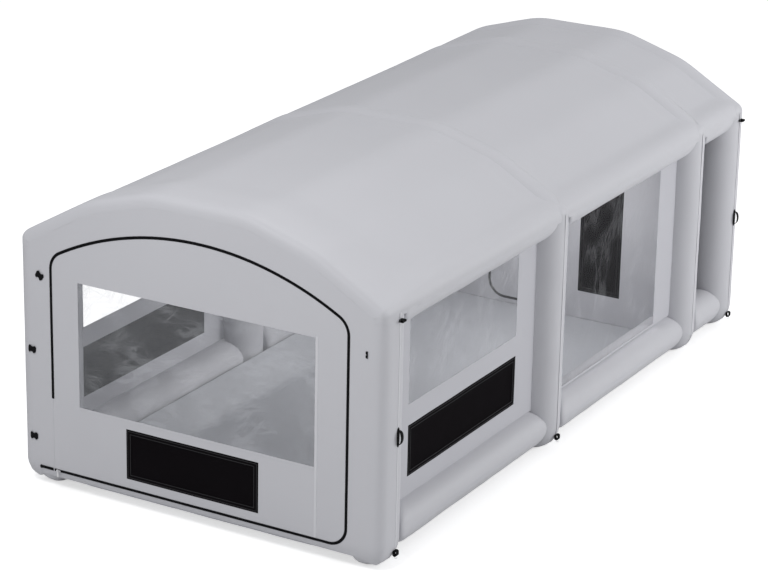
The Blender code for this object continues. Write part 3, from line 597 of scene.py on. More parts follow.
for number, arch_name in enumerate(ARCH_NAMES):
    tube = make_arch_tube(arch_name, ARCH_Y[number], 1.0 + 7.3 * number)
print("arch tube faces", len(tube.data.polygons))

# %% [markdown]
# ## Base and eave tubes
#
# The long tubes run from arch to arch, and all twelve follow one rule, so Geometry Nodes
# make them: a flat grid is rolled into a tube, drawn in a little at both ends, as a welded
# cap pulls the cloth in, and cut to the round side of the columns. The first and the last
# row shrink to a point and close the ends.

# %% Build the tree that rolls an air tube
def new_geometry_tree(name, **inputs):
    """A tree that takes a geometry and further inputs, each said as NAME="Kind"."""
    tree = bpy.data.node_groups.new(name, "GeometryNodeTree")
    for label, kind in {"Geometry": "Geometry", **inputs, "Material": "Material"}.items():
        tree.interface.new_socket(label, in_out="INPUT", socket_type="NodeSocket" + kind)
    tree.interface.new_socket("Geometry", in_out="OUTPUT", socket_type="NodeSocketGeometry")
    return tree, tree.nodes.new("NodeGroupInput").outputs


def finish_tree(tree, given, geometry):
    """Every tree ends in Realize Instances and Set Material."""
    real = add_node(tree, "GeometryNodeRealizeInstances", in_0=geometry)
    paint = add_node(tree, "GeometryNodeSetMaterial", in_Geometry=real.outputs[0],
                     in_Material=given["Material"])
    add_node(tree, "NodeGroupOutput", in_0=paint.outputs[0])
    return tree


def run_tree(piece, tree, **values):
    """Run a tree on a piece with values for its inputs, and keep the result as a plain mesh."""
    modifier = piece.modifiers.new(tree.name, "NODES")
    modifier.node_group = tree
    for item in tree.interface.items_tree:
        if item.item_type == "SOCKET" and item.in_out == "INPUT" and item.name in values:
            modifier[item.identifier] = values[item.name]
    return apply_modifiers(piece)


def make_air_tube_tree():
    """A grid from 0 to 1 both ways becomes a tube that ends at the arches' round sides."""
    floats = ("X", "Z", "Radius", "Middle", "Half", "Cap_pull", "Cap_length", "Swell", "Column_x", "Seam_x")
    tree, g = new_geometry_tree("air_tube", **dict.fromkeys(floats, "Float"), Sides="Int", Rings="Int")

    def calc(operation, *sources):
        return math_node(tree, operation, *sources)

    def join(x, y, z=None):
        return add_node(tree, "ShaderNodeCombineXYZ", in_X=x, in_Y=y, in_Z=z).outputs[0]

    def on_ring(angle, radius):
        return [calc("ADD", g[axis], calc("MULTIPLY", calc(wave, angle), radius))
                for axis, wave in (("X", "COSINE"), ("Z", "SINE"))]

    grid = add_node(tree, "GeometryNodeMeshGrid", in_Vertices_X=g["Sides"], in_Vertices_Y=g["Rings"])
    place = tree.nodes.new("GeometryNodeInputPosition")
    split = add_node(tree, "ShaderNodeSeparateXYZ", in_0=place.outputs[0])
    angle = calc("MULTIPLY", calc("ADD", split.outputs["X"], 0.5), 2 * math.pi)
    half_turn = calc("MULTIPLY", calc("ADD", split.outputs["Y"], 0.5), math.pi)
    warped = calc("MULTIPLY", calc("COSINE", half_turn), -1.0)
    from_end = calc("MULTIPLY", calc("SUBTRACT", 1.0, calc("ABSOLUTE", warped)), g["Half"])
    near = calc("MAXIMUM", calc("SUBTRACT", 1.0, calc("DIVIDE", from_end, g["Cap_length"])), 0.0)
    dome = calc("SQRT", calc("MAXIMUM", calc("SUBTRACT", 1.0, calc("MULTIPLY", near, near)), 0.0))
    drawn = calc("SUBTRACT", 1.0, calc("MULTIPLY", g["Cap_pull"], calc("SUBTRACT", 1.0, dome)))
    open_row = calc("GREATER_THAN", from_end, 1e-6)
    along = calc("MULTIPLY", warped, g["Half"])
    plain_x, plain_z = on_ring(angle, g["Radius"])
    cloth = noise_value(tree, join(plain_x, calc("ADD", g["Middle"], along), plain_z), 3.2, 1.5)
    uneven = calc("MULTIPLY", calc("SUBTRACT", cloth, 0.62), g["Swell"])
    radius = calc("MULTIPLY", calc("ADD", calc("MULTIPLY", g["Radius"], drawn), uneven), open_row)
    x, z = on_ring(angle, radius)
    side = calc("ABSOLUTE", x)
    upright = calc("SUBTRACT", g["Seam_x"], side)
    edge, normal = EDGES[1]
    level = calc("ADD", calc("MULTIPLY", side, float(normal[0])), calc("MULTIPLY", z, float(normal[1])))
    slope = calc("SUBTRACT", float(edge @ normal), level)
    thick = calc("SUBTRACT", g["Seam_x"], g["Column_x"])
    off = calc("SUBTRACT", thick, calc("MINIMUM", upright, slope))
    chord = calc("SUBTRACT", calc("MULTIPLY", thick, thick), calc("MULTIPLY", off, off))
    reach = calc("SQRT", calc("MAXIMUM", chord, 0.0))
    half = calc("ADD", calc("SUBTRACT", g["Half"], reach), TUBE_TUCK)
    y = calc("ADD", g["Middle"], calc("MULTIPLY", warped, half))
    flat = join(calc("MULTIPLY", angle, g["Radius"]), along)
    store = add_node(tree, "GeometryNodeStoreNamedAttribute", data_type="FLOAT2", domain="CORNER",
                     in_Name="cut", in_Geometry=grid.outputs["Mesh"], in_Value=flat)
    move = add_node(tree, "GeometryNodeSetPosition", in_Geometry=store.outputs[0], in_Position=join(x, y, z))
    merge = add_node(tree, "GeometryNodeMergeByDistance", in_Distance=1e-5, in_Geometry=move.outputs[0])
    smooth = add_node(tree, "GeometryNodeSetShadeSmooth", in_Geometry=merge.outputs[0])
    return finish_tree(tree, g, smooth.outputs[0])


# %% Roll the twelve long tubes
TUBE_TUCK = 0.004
LONG_TUBES = {
    "base": (BASE_X, BASE_Z, BASE_RADIUS, 0.24, 0.11),
    "eave": (EAVE_X, EAVE_Z, EAVE_RADIUS, 0.22, 0.08),
}
AIR_TUBE = make_air_tube_tree()


def make_long_tube(kind, side_name, bay):
    """One base or eave tube between two arches."""
    x, z, radius, cap_pull, cap_length = LONG_TUBES[kind]
    tag = f"{side_name}_{bay + 1}"
    piece = mesh_object(f"{kind}_{tag}_tube", [(0, 0, 0)], [])
    low, high = ARCH_Y[bay], ARCH_Y[bay + 1]
    run_tree(piece, AIR_TUBE, X=SIDES[side_name] * x, Z=z, Radius=radius - UNDER, Middle=(low + high) / 2,
             Half=(high - low) / 2, Cap_pull=cap_pull, Cap_length=cap_length, Swell=0.008,
             Column_x=COLUMN_X, Seam_x=HALF_WIDTH, Sides=57, Rings=64 if bay < 2 else 32, Material=BOOTH)
    point_outwards(piece)
    return finish_piece(piece, BOOTH, replaces=[f"{kind}_tube_{tag}"])


for side_name in SIDES:
    for bay in range(3):
        for kind in LONG_TUBES:
            tube = make_long_tube(kind, side_name, bay)
print("long tube faces", len(tube.data.polygons))

# %% [markdown]
# ## Cutting a sheet flat
#
# A sewing shop cuts each sheet on a table. `cut_sheet` does the same: it fills an outline
# with small triangles, leaves out the holes, and keeps the flat places.

# %% Cut sheets and lay them
def inside(points, loop):
    """Which points lie inside a closed loop."""
    loop = np.array(loop, float)
    x, y = points[:, 0], points[:, 1]
    within = np.zeros(len(points), bool)
    for (x0, y0), (x1, y1) in zip(loop, np.roll(loop, -1, axis=0)):
        crosses = (y0 > y) != (y1 > y)
        if y0 != y1:
            within ^= crosses & (x < (x1 - x0) * (y - y0) / (y1 - y0) + x0)
    return within


def resample(loop, spacing):
    """The loop with extra points on its long edges."""
    points = []
    loop = [np.array(p, float) for p in loop]
    for a, b in zip(loop, loop[1:] + loop[:1]):
        count = max(1, round(float(np.linalg.norm(b - a)) / spacing))
        points += [a + (b - a) * k / count for k in range(count)]
    return points


def distance_to(points, loop):
    """Each point's distance to the nearest edge of a loop."""
    best = np.full(len(points), 1e9)
    loop = np.array(loop, float)
    for a, b in zip(loop, np.roll(loop, -1, axis=0)):
        way = b - a
        t = np.clip(((points - a) @ way) / max(way @ way, 1e-12), 0, 1)
        best = np.minimum(best, np.linalg.norm(points - a - t[:, None] * way, axis=1))
    return best


def cut_sheet(outer, holes=(), spacing=0.04):
    """Flat points, triangles and area of a sheet with holes."""
    loops = [resample(loop, spacing) for loop in [outer, *holes]]
    low, high = np.min(outer, axis=0), np.max(outer, axis=0)
    u = np.arange(low[0] + spacing / 2, high[0], spacing)
    v = np.arange(low[1] + spacing / 2, high[1], spacing)
    field = np.array([(a, b) for b in v for a in u])
    keep = inside(field, outer)
    for hole in holes:
        keep &= ~inside(field, hole)
    field = field[keep]
    for loop in [outer, *holes]:
        field = field[distance_to(field, loop) > spacing * 0.45]
    verts, edges = [], []
    for loop in loops:
        first = len(verts)
        verts += [Vector(p) for p in loop]
        edges += [(first + k, first + (k + 1) % len(loop)) for k in range(len(loop))]
    verts += [Vector(p) for p in field]
    made = delaunay_2d_cdt(verts, edges, [], 0, 1e-7)
    flat = np.array([tuple(p) for p in made[0]])
    faces = np.array([f for f in made[2]])
    centres = flat[faces].mean(axis=1)
    keep = inside(centres, outer)
    for hole in holes:
        keep &= ~inside(centres, hole)
    faces = faces[keep]
    a, b, c = (flat[faces[:, k]] for k in range(3))
    twice = (b - a)[:, 0] * (c - a)[:, 1] - (b - a)[:, 1] * (c - a)[:, 0]
    faces[twice < 0] = faces[twice < 0][:, ::-1]
    used, faces = np.unique(faces, return_inverse=True)
    return flat[used], faces.reshape(-1, 3), float(np.abs(twice).sum() / 2)


def clip(loop, axis, value, way):
    """The part of a loop on one side of a straight cut; way is 1 for above, -1 for below."""
    kept = []
    for a, b in zip(loop, loop[1:] + loop[:1]):
        a_in, b_in = (a[axis] - value) * way >= 0, (b[axis] - value) * way >= 0
        if a_in:
            kept.append(a)
        if a_in != b_in:
            t = (value - a[axis]) / (b[axis] - a[axis])
            kept.append((a[0] + (b[0] - a[0]) * t, a[1] + (b[1] - a[1]) * t))
    return kept


def lay_sheet(name, cut, place, thickness=CLOTH):
    """A sheet from its flat cut, laid by place(u, v), with its thickness inwards."""
    flat, faces, _ = cut
    points, normals = place(flat[:, 0], flat[:, 1])
    return thicken(mesh_object(name, points, faces, flat), thickness, normals)


def make_cloth(name, node, cut, place, material=BOOTH, body="booth_frame"):
    """Lay a sheet of cloth in place of a solid, on the body that carries it."""
    piece = finish_piece(lay_sheet(name, cut, place), material, body, replaces=[node])
    return piece


def make_pane(name, node, edges, place, material, body="booth_frame"):
    """Lay a film window, which reaches a little way behind the cloth round it."""
    cut = cut_sheet(rectangle(*edges, FILM_LAP), spacing=0.025)
    pane = lay_sheet(name, cut, place, FILM_THICKNESS)
    finish_piece(pane, material, body, [node])


def rectangle(u, v, grow=0.0):
    """A rectangle's corners, anticlockwise."""
    u0, u1, v0, v1 = u[0] - grow, u[1] + grow, v[0] - grow, v[1] + grow
    return [(u0, v0), (u1, v0), (u1, v1), (u0, v1)]


def arc(centre, radius, start, end, steps):
    """Points along an arc, with both ends."""
    angles = np.linspace(start, end, steps + 1)
    return [(centre[0] + radius * math.cos(a), centre[1] + radius * math.sin(a)) for a in angles]


def rounded(u, v, radius, grow=0.0, steps=8):
    """A rectangle with round corners, anticlockwise."""
    u0, u1, v0, v1, r = u[0] - grow, u[1] + grow, v[0] - grow, v[1] + grow, radius + grow
    middles = ((u1 - r, v0 + r), (u1 - r, v1 - r), (u0 + r, v1 - r), (u0 + r, v0 + r))
    points = []
    for k, hub in enumerate(middles):
        points += arc(hub, r, (k - 1) * math.pi / 2, k * math.pi / 2, steps)
    return points


# %% [markdown]
# ## The front's surface
#
# The front cloth runs from seam to seam: straight across, round a fairly square outer edge
# and back along the columns to the seams. The edge is a superellipse, because cloth pulled
# over a tube with a flat panel beside it bends more sharply than the tube. Near the ground
# the cloth follows the round feet.

# %% Describe the front surface
TUCKED = 0.003
SILL = box("front_panel")[0][2]


def edge_section():
    """A quarter of the edge as length, way out, way forward and normal, for a tube of 1."""
    t = np.linspace(0, math.pi / 2, 97)
    out, ahead = np.sin(t) ** (2 / SQUARENESS), np.cos(t) ** (2 / SQUARENESS)
    length = np.concatenate([[0], np.cumsum(np.hypot(np.diff(out), np.diff(ahead)))])
    normal = np.column_stack([out, ahead]) ** (SQUARENESS - 1)
    normal /= np.linalg.norm(normal, axis=1, keepdims=True)
    return length, out, ahead, normal


LENGTH, OUT, AHEAD, EDGE_NORMAL = edge_section()


def half_cut(z):
    """Flat length from the booth's middle to the column's seam at the height z."""
    return COLUMN_X + TUBE * foot_scale(z) * LENGTH[-1]


def wrap_front(u, v):
    """Places and outward normals of flat points on the front."""
    drawn = TUBE * foot_scale(v)
    run = np.clip((np.abs(u) - COLUMN_X) / drawn, 0, LENGTH[-1])
    out, ahead = np.interp(run, LENGTH, OUT), np.interp(run, LENGTH, AHEAD)
    x = np.where(run > 0, COLUMN_X + drawn * out, np.abs(u))
    y = ARCH_Y[0] - drawn * ahead
    sideways = np.interp(run, LENGTH, EDGE_NORMAL[:, 0])
    forward = np.interp(run, LENGTH, EDGE_NORMAL[:, 1])
    down = np.sqrt(1 - np.clip(foot_scale(v), 0, 1) ** 2)
    normals = np.column_stack([np.sign(u) * sideways, -forward, -down])
    normals /= np.linalg.norm(normals, axis=1, keepdims=True)
    return np.column_stack([np.sign(u) * x, y, v]), normals


# %% [markdown]
# ## Roof sheets
#
# The first roof sheet starts on the front edge, covers the first arch flush and sinks
# 35 mm by the second arch. The other two lie 35 mm below the arches between them. Beside
# the eave tubes each sheet comes up on to the tube and is welded there. At each arch it
# rises a little, and where it lies shallow it runs on to the arch's round side.

# %% Lay the roof sheets
ROOF_END = 0.085
RISE = 0.009
RISE_LENGTH = 0.09
WELD = 0.003
SHEET_TUCK = 0.004
ABOVE_TUBE = (0.2, 0.3)
SHEET_REACH = math.sqrt(TUBE**2 - (TUBE - ROOF_DROP + RISE) ** 2) - SHEET_TUCK


def roof_line(eave_bend):
    """The outline over the roof only, down each side to just under the eaves."""
    return outline(0.0, eave_bend, EAVE_HEIGHT - ROOF_END, runs=(6, 22, 20, 28))


def meet_arches(y, depth, ends):
    """A row's places along y: near an end, shallow points run on to the arch's round side."""
    place = np.full(len(depth), y)
    chord = np.sqrt(TUBE**2 - (TUBE - np.clip(depth, 0.0005, ROOF_DROP)) ** 2)
    for arch_y, way in ends:
        near = float(smoothstep(0.25, 0.0, abs(y - arch_y - way * SHEET_REACH)))
        place -= way * near * (SHEET_REACH - chord + SHEET_TUCK)
    return place


def roof_grid(rows, ends):
    """Points and normals of a roof sheet; a row is (y, depth function, eave bend)."""
    grid, outward = [], []
    for y, depth_of, bend in rows:
        path, normals = roof_line(bend)
        steps = np.linalg.norm(np.diff(path, axis=0), axis=1)
        along = np.concatenate([[0], np.cumsum(steps)])
        depth = depth_of(np.minimum(along, along[-1] - along))
        inner = path - normals * depth[:, None]
        grid.append(np.column_stack([inner[:, 0], meet_arches(y, depth, ends), inner[:, 1]]))
        outward.append(np.column_stack([normals[:, 0], np.zeros(len(normals)), normals[:, 1]]))
    return np.array(grid), np.array(outward)


def on_eave_tube(from_edge):
    """Depth that lets the sheet hug the eave tube and then sink to its own level.

    It is welded to the tube along the first 50 mm, comes up until 140 mm from its edge and
    sinks between 150 and 310 mm.
    """
    hug = 0.008 - 0.006 * smoothstep(0.0, 0.14, from_edge) - 0.001
    weld = WELD * (1 - smoothstep(0.0, 0.05, from_edge))
    return hug + weld + (ROOF_DROP - 0.002) * smoothstep(0.15, 0.31, from_edge)


def sheet_from_grid(name, grid, normals):
    """A sheet from a grid of points, with its flat metres as UV."""
    rows, columns = grid.shape[:2]
    across = np.linalg.norm(np.diff(grid, axis=1), axis=2).cumsum(axis=1)
    across = np.concatenate([np.zeros((rows, 1)), across], axis=1)
    along = np.linalg.norm(np.diff(grid, axis=0), axis=2).cumsum(axis=0)
    along = np.concatenate([np.zeros((1, columns)), along], axis=0)
    across = across - across[:, -1:] / 2
    flat = np.column_stack([across.ravel(), along.ravel()])
    points = skin(grid.reshape(-1, 3), normals.reshape(-1, 3))
    piece = mesh_object(name, points, grid_faces(rows, columns), flat)
    spans = (float(across[:, -1].max() * 2), float(along[-1].max()))
    return thicken(piece, CLOTH, normals.reshape(-1, 3)), spans


def make_front_roof():
    """The first sheet goes round the front edge and lies flush over the arch.

    60 mm behind the arch's middle it starts to sink, and 500 mm behind it is sunk. Over
    the arch's shoulder its edge is tucked 12 mm in.
    """
    front, back = ARCH_Y[0], ARCH_Y[1] - SHEET_REACH
    rows = []
    first = float(np.interp(1 - EDGE / TUBE, OUT, LENGTH))
    slack = TUBE * (1 - float(np.interp(first, LENGTH, AHEAD)))
    for run in np.linspace(first, LENGTH[-1], 26)[:-1]:
        depth = TUBE * (1 - float(np.interp(run, LENGTH, OUT)))
        ahead = TUBE * float(np.interp(run, LENGTH, AHEAD))
        level = slack * (1 - (run - first) / (LENGTH[-1] - first))
        rows.append((front - ahead - level, lambda e, d=depth: d + e * 0, EAVE_BEND))
    for y in np.linspace(front, back, 60):
        sunk = float(smoothstep(front + 0.06, front + 0.50, y))
        tuck = float(smoothstep(front, front + 0.06, y) - smoothstep(front + 0.20, front + 0.32, y))
        rise = RISE * float(smoothstep(back - RISE_LENGTH, back, y))
        bend = EAVE_BEND + (EAVE_RADIUS - EAVE_BEND) * float(smoothstep(front, front + 0.25, y))

        def depth_of(e, sunk=sunk, tuck=tuck, rise=rise):
            sink = on_eave_tube(e) * sunk
            return sink + 0.012 * tuck * (1 - smoothstep(0.0, 0.05, e)) - rise * smoothstep(*ABOVE_TUBE, e)

        rows.append((y, depth_of, bend))
    return sheet_from_grid("roof_sheet_1", *roof_grid(rows, [(ARCH_Y[1], -1)]))


def make_back_roof(bay):
    """A sheet between two arches, which rises a little at both."""
    low, high = ARCH_Y[bay] + SHEET_REACH, ARCH_Y[bay + 1] - SHEET_REACH
    rows = []
    for y in np.linspace(low, high, 56 if bay == 1 else 24):
        rise = RISE * float(smoothstep(RISE_LENGTH, 0.0, min(y - low, high - y)))
        rows.append((y, lambda e, r=rise: on_eave_tube(e) - r * smoothstep(*ABOVE_TUBE, e), EAVE_RADIUS))
    ends = [(ARCH_Y[bay], 1), (ARCH_Y[bay + 1], -1)]
    return sheet_from_grid(f"roof_sheet_{bay + 1}", *roof_grid(rows, ends))


for bay in range(3):
    piece, spans = make_front_roof() if bay == 0 else make_back_roof(bay)
    finish_piece(piece, BOOTH, replaces=[f"roof_panel_{bay + 1}"])
    print(piece.name, "flat", np.round(spans, 3))

# %% [markdown]
# ## Ribbons and stitches
#
# Tapes, straps and seams are all ribbons: a thin section carried along a line on a surface.
# Stitches and zip teeth repeat hundreds of times along such a line, so Geometry Nodes set
# them there: the line becomes a curve, is divided at the pitch, and each point gets one
# small shape turned to the line and to the surface.

# %% Make ribbons, and a tree that repeats a shape along a line
def lines_along(points, closed=False):
    """Unit directions along a row of points."""
    points = np.asarray(points, float)
    if closed:
        ways = np.roll(points, -1, axis=0) - np.roll(points, 1, axis=0)
    else:
        ways = np.gradient(points, axis=0)
    return ways / np.linalg.norm(ways, axis=1, keepdims=True)


def ribbon(name, points, outward, width, rise, closed=False):
    """A flat strap along points; outward says which way its face looks."""
    points, outward = np.asarray(points, float), np.asarray(outward, float)
    across = np.cross(lines_along(points, closed), outward)
    across /= np.linalg.norm(across, axis=1, keepdims=True)
    widths = np.broadcast_to(np.asarray(width, float), (len(points),))[:, None]
    section = [(-0.5, -0.2), (-0.5, 0.7), (-0.42, 1.0), (0.42, 1.0), (0.5, 0.7), (0.5, -0.2)]
    rows = np.stack([points + across * widths * w + outward * rise * h for w, h in section], axis=1)
    along = np.concatenate([[0], np.cumsum(np.linalg.norm(np.diff(points, axis=0), axis=1))])
    flat = np.array([(w * float(span), a) for a, span in zip(along, widths[:, 0]) for w, _ in section])
    count, sides = len(points), len(section)
    faces = grid_faces(count, sides, wrap=True)
    if closed:
        last = (count - 1) * sides
        faces += [(last + k, last + (k + 1) % sides, (k + 1) % sides, k) for k in range(sides)]
    else:
        faces += [tuple(range(sides))[::-1], tuple((count - 1) * sides + k for k in range(sides))]
    piece = mesh_object(name, rows.reshape(-1, 3), faces, flat)
    piece.data.set_sharp_from_angle(angle=SHARP)
    return point_outwards(piece)


def make_repeat_tree():
    """One bead or tooth at every pitch along a line, turned to the line and to `up`."""
    tree, g = new_geometry_tree(
        "repeat_along_line", Pitch="Float", Size="Vector", Offset="Vector", Teeth="Bool")
    curve = add_node(tree, "GeometryNodeMeshToCurve", in_0=g["Geometry"])
    divide = add_node(tree, "GeometryNodeResampleCurve", mode="LENGTH", in_Curve=curve.outputs[0],
                      in_Length=g["Pitch"])
    up = add_node(tree, "GeometryNodeInputNamedAttribute", data_type="FLOAT_VECTOR", in_Name="up")
    way = tree.nodes.new("GeometryNodeInputTangent")
    turn = add_node(tree, "FunctionNodeAxesToRotation", primary_axis="Z", secondary_axis="X",
                    in_Primary_Axis=up.outputs["Attribute"], in_Secondary_Axis=way.outputs[0])
    bead = add_node(tree, "GeometryNodeMeshIcoSphere", in_Radius=0.5, in_Subdivisions=1)
    tooth = add_node(tree, "GeometryNodeMeshCylinder", in_Vertices=8, in_Radius=0.5, in_Depth=1.0)
    lie = add_node(tree, "GeometryNodeTransform", in_Geometry=tooth.outputs["Mesh"],
                   in_Rotation=(math.pi / 2, 0, 0))
    choose = add_node(tree, "GeometryNodeSwitch", input_type="GEOMETRY", in_Switch=g["Teeth"],
                      in_False=bead.outputs["Mesh"], in_True=lie.outputs[0])
    put = add_node(tree, "GeometryNodeInstanceOnPoints", in_Points=divide.outputs[0],
                   in_Instance=choose.outputs[0], in_Rotation=turn.outputs[0], in_Scale=g["Size"])
    shift = add_node(tree, "GeometryNodeTranslateInstances", in_Instances=put.outputs[0],
                     in_Translation=g["Offset"])
    return finish_tree(tree, g, shift.outputs[0])


REPEAT = make_repeat_tree()


def repeat_along(name, points, outward, pitch, size, lift, material, body, teeth=False):
    """Stitches or teeth along a line of points on a surface."""
    mesh = bpy.data.meshes.new(name + "_line")
    mesh.from_pydata([tuple(p) for p in points], [(k, k + 1) for k in range(len(points) - 1)], [])
    up = mesh.attributes.new("up", "FLOAT_VECTOR", "POINT")
    up.data.foreach_set("vector", np.asarray(outward, np.float32).ravel())
    piece = bpy.data.objects.new(name, mesh)
    bpy.context.scene.collection.objects.link(piece)
    run_tree(piece, REPEAT, Pitch=pitch, Size=size, Offset=(0.0, 0.0, lift), Teeth=teeth, Material=material)
    finish_piece(piece, material, body)


def lay_line(flat_points, place, step=0.02):
    """Points and normals along flat points, with extra ones between them."""
    made = []
    for a, b in zip(flat_points, flat_points[1:]):
        a, b = np.array(a, float), np.array(b, float)
        count = max(1, round(float(np.linalg.norm(b - a)) / step))
        made += [a + (b - a) * k / count for k in range(count)]
    flat = np.array(made + [np.array(flat_points[-1], float)])
    return place(flat[:, 0], flat[:, 1])


def run_stitches(name, flat_points, place, body, pitch=0.009):
    """A row of grey stitches along flat points."""
    points, normals = lay_line(flat_points, place)
    size = (pitch * 0.62, 0.0016, 0.0011)
    repeat_along(name, points, normals, pitch, size, 0.0003, THREAD_GREY, body)


def zip_line(name, flat_points, place, body, replaces=(), width=0.022):
    """A zip: two woven tapes under a row of coil teeth, laid along flat points."""
    points, normals = lay_line(flat_points, place)
    tape = ribbon(name + "_tape", points, normals, width, 0.0014)
    finish_piece(tape, TAPE, body, replaces)
    repeat_along(name + "_teeth", points + normals * 0.0018, normals, 0.004, (0.003, 0.0075, 0.0024), 0.0,
                 TAPE, body, teeth=True)


# %% [markdown]
# ## Front panel, door and window
#
# The panel and the door are cut from the same surface. The door's edge is straight at the
# sides, round at the lower right and arched at the top, and it carries a film window and a
# filter mat.

# %% Cut the front panel and the door
(_, door_right), (door_bottom, door_top) = box_sides("front_door", 0, 2)
DOOR_GAP = 0.002
FILM_LAP = 0.012
CUT_GAP = 0.0005
DOOR_HALF = door_right + DOOR_GAP
DOOR_BOTTOM = door_bottom - DOOR_GAP
DOOR_TOP = door_top + DOOR_GAP
DOOR_ARC = 2.44
DOOR_UPPER_CORNER = 0.15
DOOR_LOWER_CORNER = 0.14
ZIP_START_Z = 0.72
PANEL_SPLIT = 1.15
HEAD_REACH = 0.5
SILL_REACH = 0.3
# How the panel's lower corner runs out round the foot: way out, share of the sill's height.
PANEL_FOOT = ((0.03, 1.0), (0.10, 0.6), (0.15, 0.22))


def door_outline(grow=0.0, fine=3):
    """The door's edge from its lower left corner, anticlockwise from the front."""
    half, bottom = DOOR_HALF + grow, DOOR_BOTTOM - grow
    hub_z = DOOR_TOP - DOOR_ARC
    corner_x = DOOR_HALF - DOOR_UPPER_CORNER
    corner_z = hub_z + math.sqrt((DOOR_ARC - DOOR_UPPER_CORNER) ** 2 - corner_x**2)
    turn = math.atan2(corner_z - hub_z, corner_x)
    lower = (DOOR_HALF - DOOR_LOWER_CORNER, DOOR_BOTTOM + DOOR_LOWER_CORNER)
    points = [(-half, bottom)]
    points += arc(lower, DOOR_LOWER_CORNER + grow, -math.pi / 2, 0, 5 * fine)
    points += arc((corner_x, corner_z), DOOR_UPPER_CORNER + grow, 0, turn, 5 * fine)
    points += arc((0, hub_z), DOOR_ARC + grow, turn, math.pi - turn, 14 * fine)[1:-1]
    points += arc((-corner_x, corner_z), DOOR_UPPER_CORNER + grow, math.pi - turn, math.pi, 5 * fine)
    return points


def panel_edge():
    """The front cloth from seam to seam; its top is the roof sheet's own front edge."""
    levels = list(np.linspace(TUCKED, FOOT_CENTRE, 10)) + list(np.linspace(0.3, EAVE_HEIGHT - ROOF_END, 12))
    right = [(float(half_cut(z)), float(z)) for z in levels]
    foot = [(COLUMN_X + out, SILL * share) for out, share in PANEL_FOOT]
    path, normals = roof_line(EAVE_BEND)
    top = path - normals * EDGE
    top = [tuple(p) for p in top[::-1]]
    half = foot + right
    left = [(-u, v) for u, v in half[::-1]]
    return half + top + left


def on_front(proud):
    """Lay flat points on the front surface, `proud` metres in front of it."""
    def place(u, v):
        points, normals = wrap_front(u, v)
        return skin(points, normals) + normals * proud, normals
    return place


def creased(place, seed):
    """The same laying with long soft creases, as film keeps from being folded."""
    count, height = 26, 0.0035
    lines = np.random.default_rng(seed)
    angles = lines.normal(0.9, 0.45, count) * lines.choice([-1, 1], count, p=[0.25, 0.75])
    offsets = lines.uniform(-1.6, 1.6, count)
    widths = lines.uniform(0.008, 0.03, count)
    heights = lines.uniform(-1, 1, count) * height

    def laid(u, v):
        points, normals = place(u, v)
        a, b = u - u.mean(), v - v.mean()
        total = ripple(points, 0.22, 0.003, seed)
        for angle, offset, width, rise in zip(angles, offsets, widths, heights):
            away = a * math.sin(angle) - b * math.cos(angle) - offset * 0.5
            fade = 0.35 + 0.65 * np.sin(3.1 * (a * math.cos(angle) + b * math.sin(angle)) + offset * 9) ** 2
            total = total + rise * fade * np.exp(-(away / width) ** 2)
        return points + normals * (np.minimum(total, 0.001) - 0.0015)[:, None], normals
    return laid


def make_mat(name, node, body, laying, axes):
    """A filter mat: a slightly puffed fleece inside a sewn black binding."""
    u, v = box_sides(node, *axes)
    cut = cut_sheet(rectangle(u, v, 0.004), spacing=0.03)

    def puffed(a, b):
        points, normals = laying(-0.0005)(a, b)
        rim = np.minimum(np.minimum(a - u[0], u[1] - a), np.minimum(b - v[0], v[1] - b))
        puff = 0.006 * smoothstep(0.03, 0.11, rim)
        puff = puff + ripple(points, 0.12, 0.002, 5.0) * smoothstep(0.02, 0.08, rim)
        return points - normals * puff[:, None], normals
    mat = lay_sheet(name, cut, puffed, 0.004)
    finish_piece(mat, FILTER, body, [node])
    frame_cut = cut_sheet(rectangle(u, v, -0.0015), [rectangle(u, v, -BINDING)], spacing=0.02)
    binding = lay_sheet(name + "_binding", frame_cut, laying(0.0012), 0.0015)
    finish_piece(binding, FILTER, body)
    for number, inset in enumerate(PIPING_INSETS):
        line = cut_sheet(rectangle(u, v, -inset), [rectangle(u, v, -inset - PIPING)], spacing=0.05)
        piping = lay_sheet(f"{name}_piping_{number + 1}", line, laying(0.0026), 0.0016)
        finish_piece(piping, PIPING_CLOTH, body)
        seam = rectangle(u, v, -inset - PIPING / 2)
        run_stitches(f"{name}_stitches_{number + 1}", seam + seam[:1], laying(0.0027), body)


BINDING = 0.046
PIPING_INSETS = (0.011, 0.033)
PIPING = 0.005
GLASS = box_sides("door_window", 0, 2)
whole = panel_edge()
middle_band = clip(clip(whole, 0, -PANEL_SPLIT, 1), 0, PANEL_SPLIT, -1)
strips = {
    "right": clip(whole, 0, PANEL_SPLIT, 1),
    "left": clip(whole, 0, -PANEL_SPLIT, -1),
    "head": clip(middle_band, 1, DOOR_TOP - HEAD_REACH, 1),
    "sill": clip(middle_band, 1, DOOR_BOTTOM + SILL_REACH, -1),
}
for label, edge in strips.items():
    cut = cut_sheet(edge, [door_outline(CUT_GAP)])
    make_cloth("front_panel_" + label, "front_panel", cut, on_front(0.0))

holes = [rectangle(*GLASS), rectangle(*box_sides("door_filter", 0, 2))]
cut = cut_sheet(door_outline(-CUT_GAP), holes)
make_cloth("front_door_cloth", "front_door", cut, on_front(0.0),
           body="front_door")
make_pane("door_window_film", "door_window", GLASS, creased(on_front(-0.0025), 8),
          FILM, "front_door")
make_mat("door_filter_mat", "door_filter", "front_door", on_front, (0, 2))

# %% [markdown]
# ## Zip, window strips and seams of the front
#
# One black coil zip runs round the door. Its first few centimetres, with the round stopper,
# are sewn to the panel beside the hinge line, so they stay when the door swings. A strip
# of cloth covers the seam at the right of the window, and thin welds run above and below.

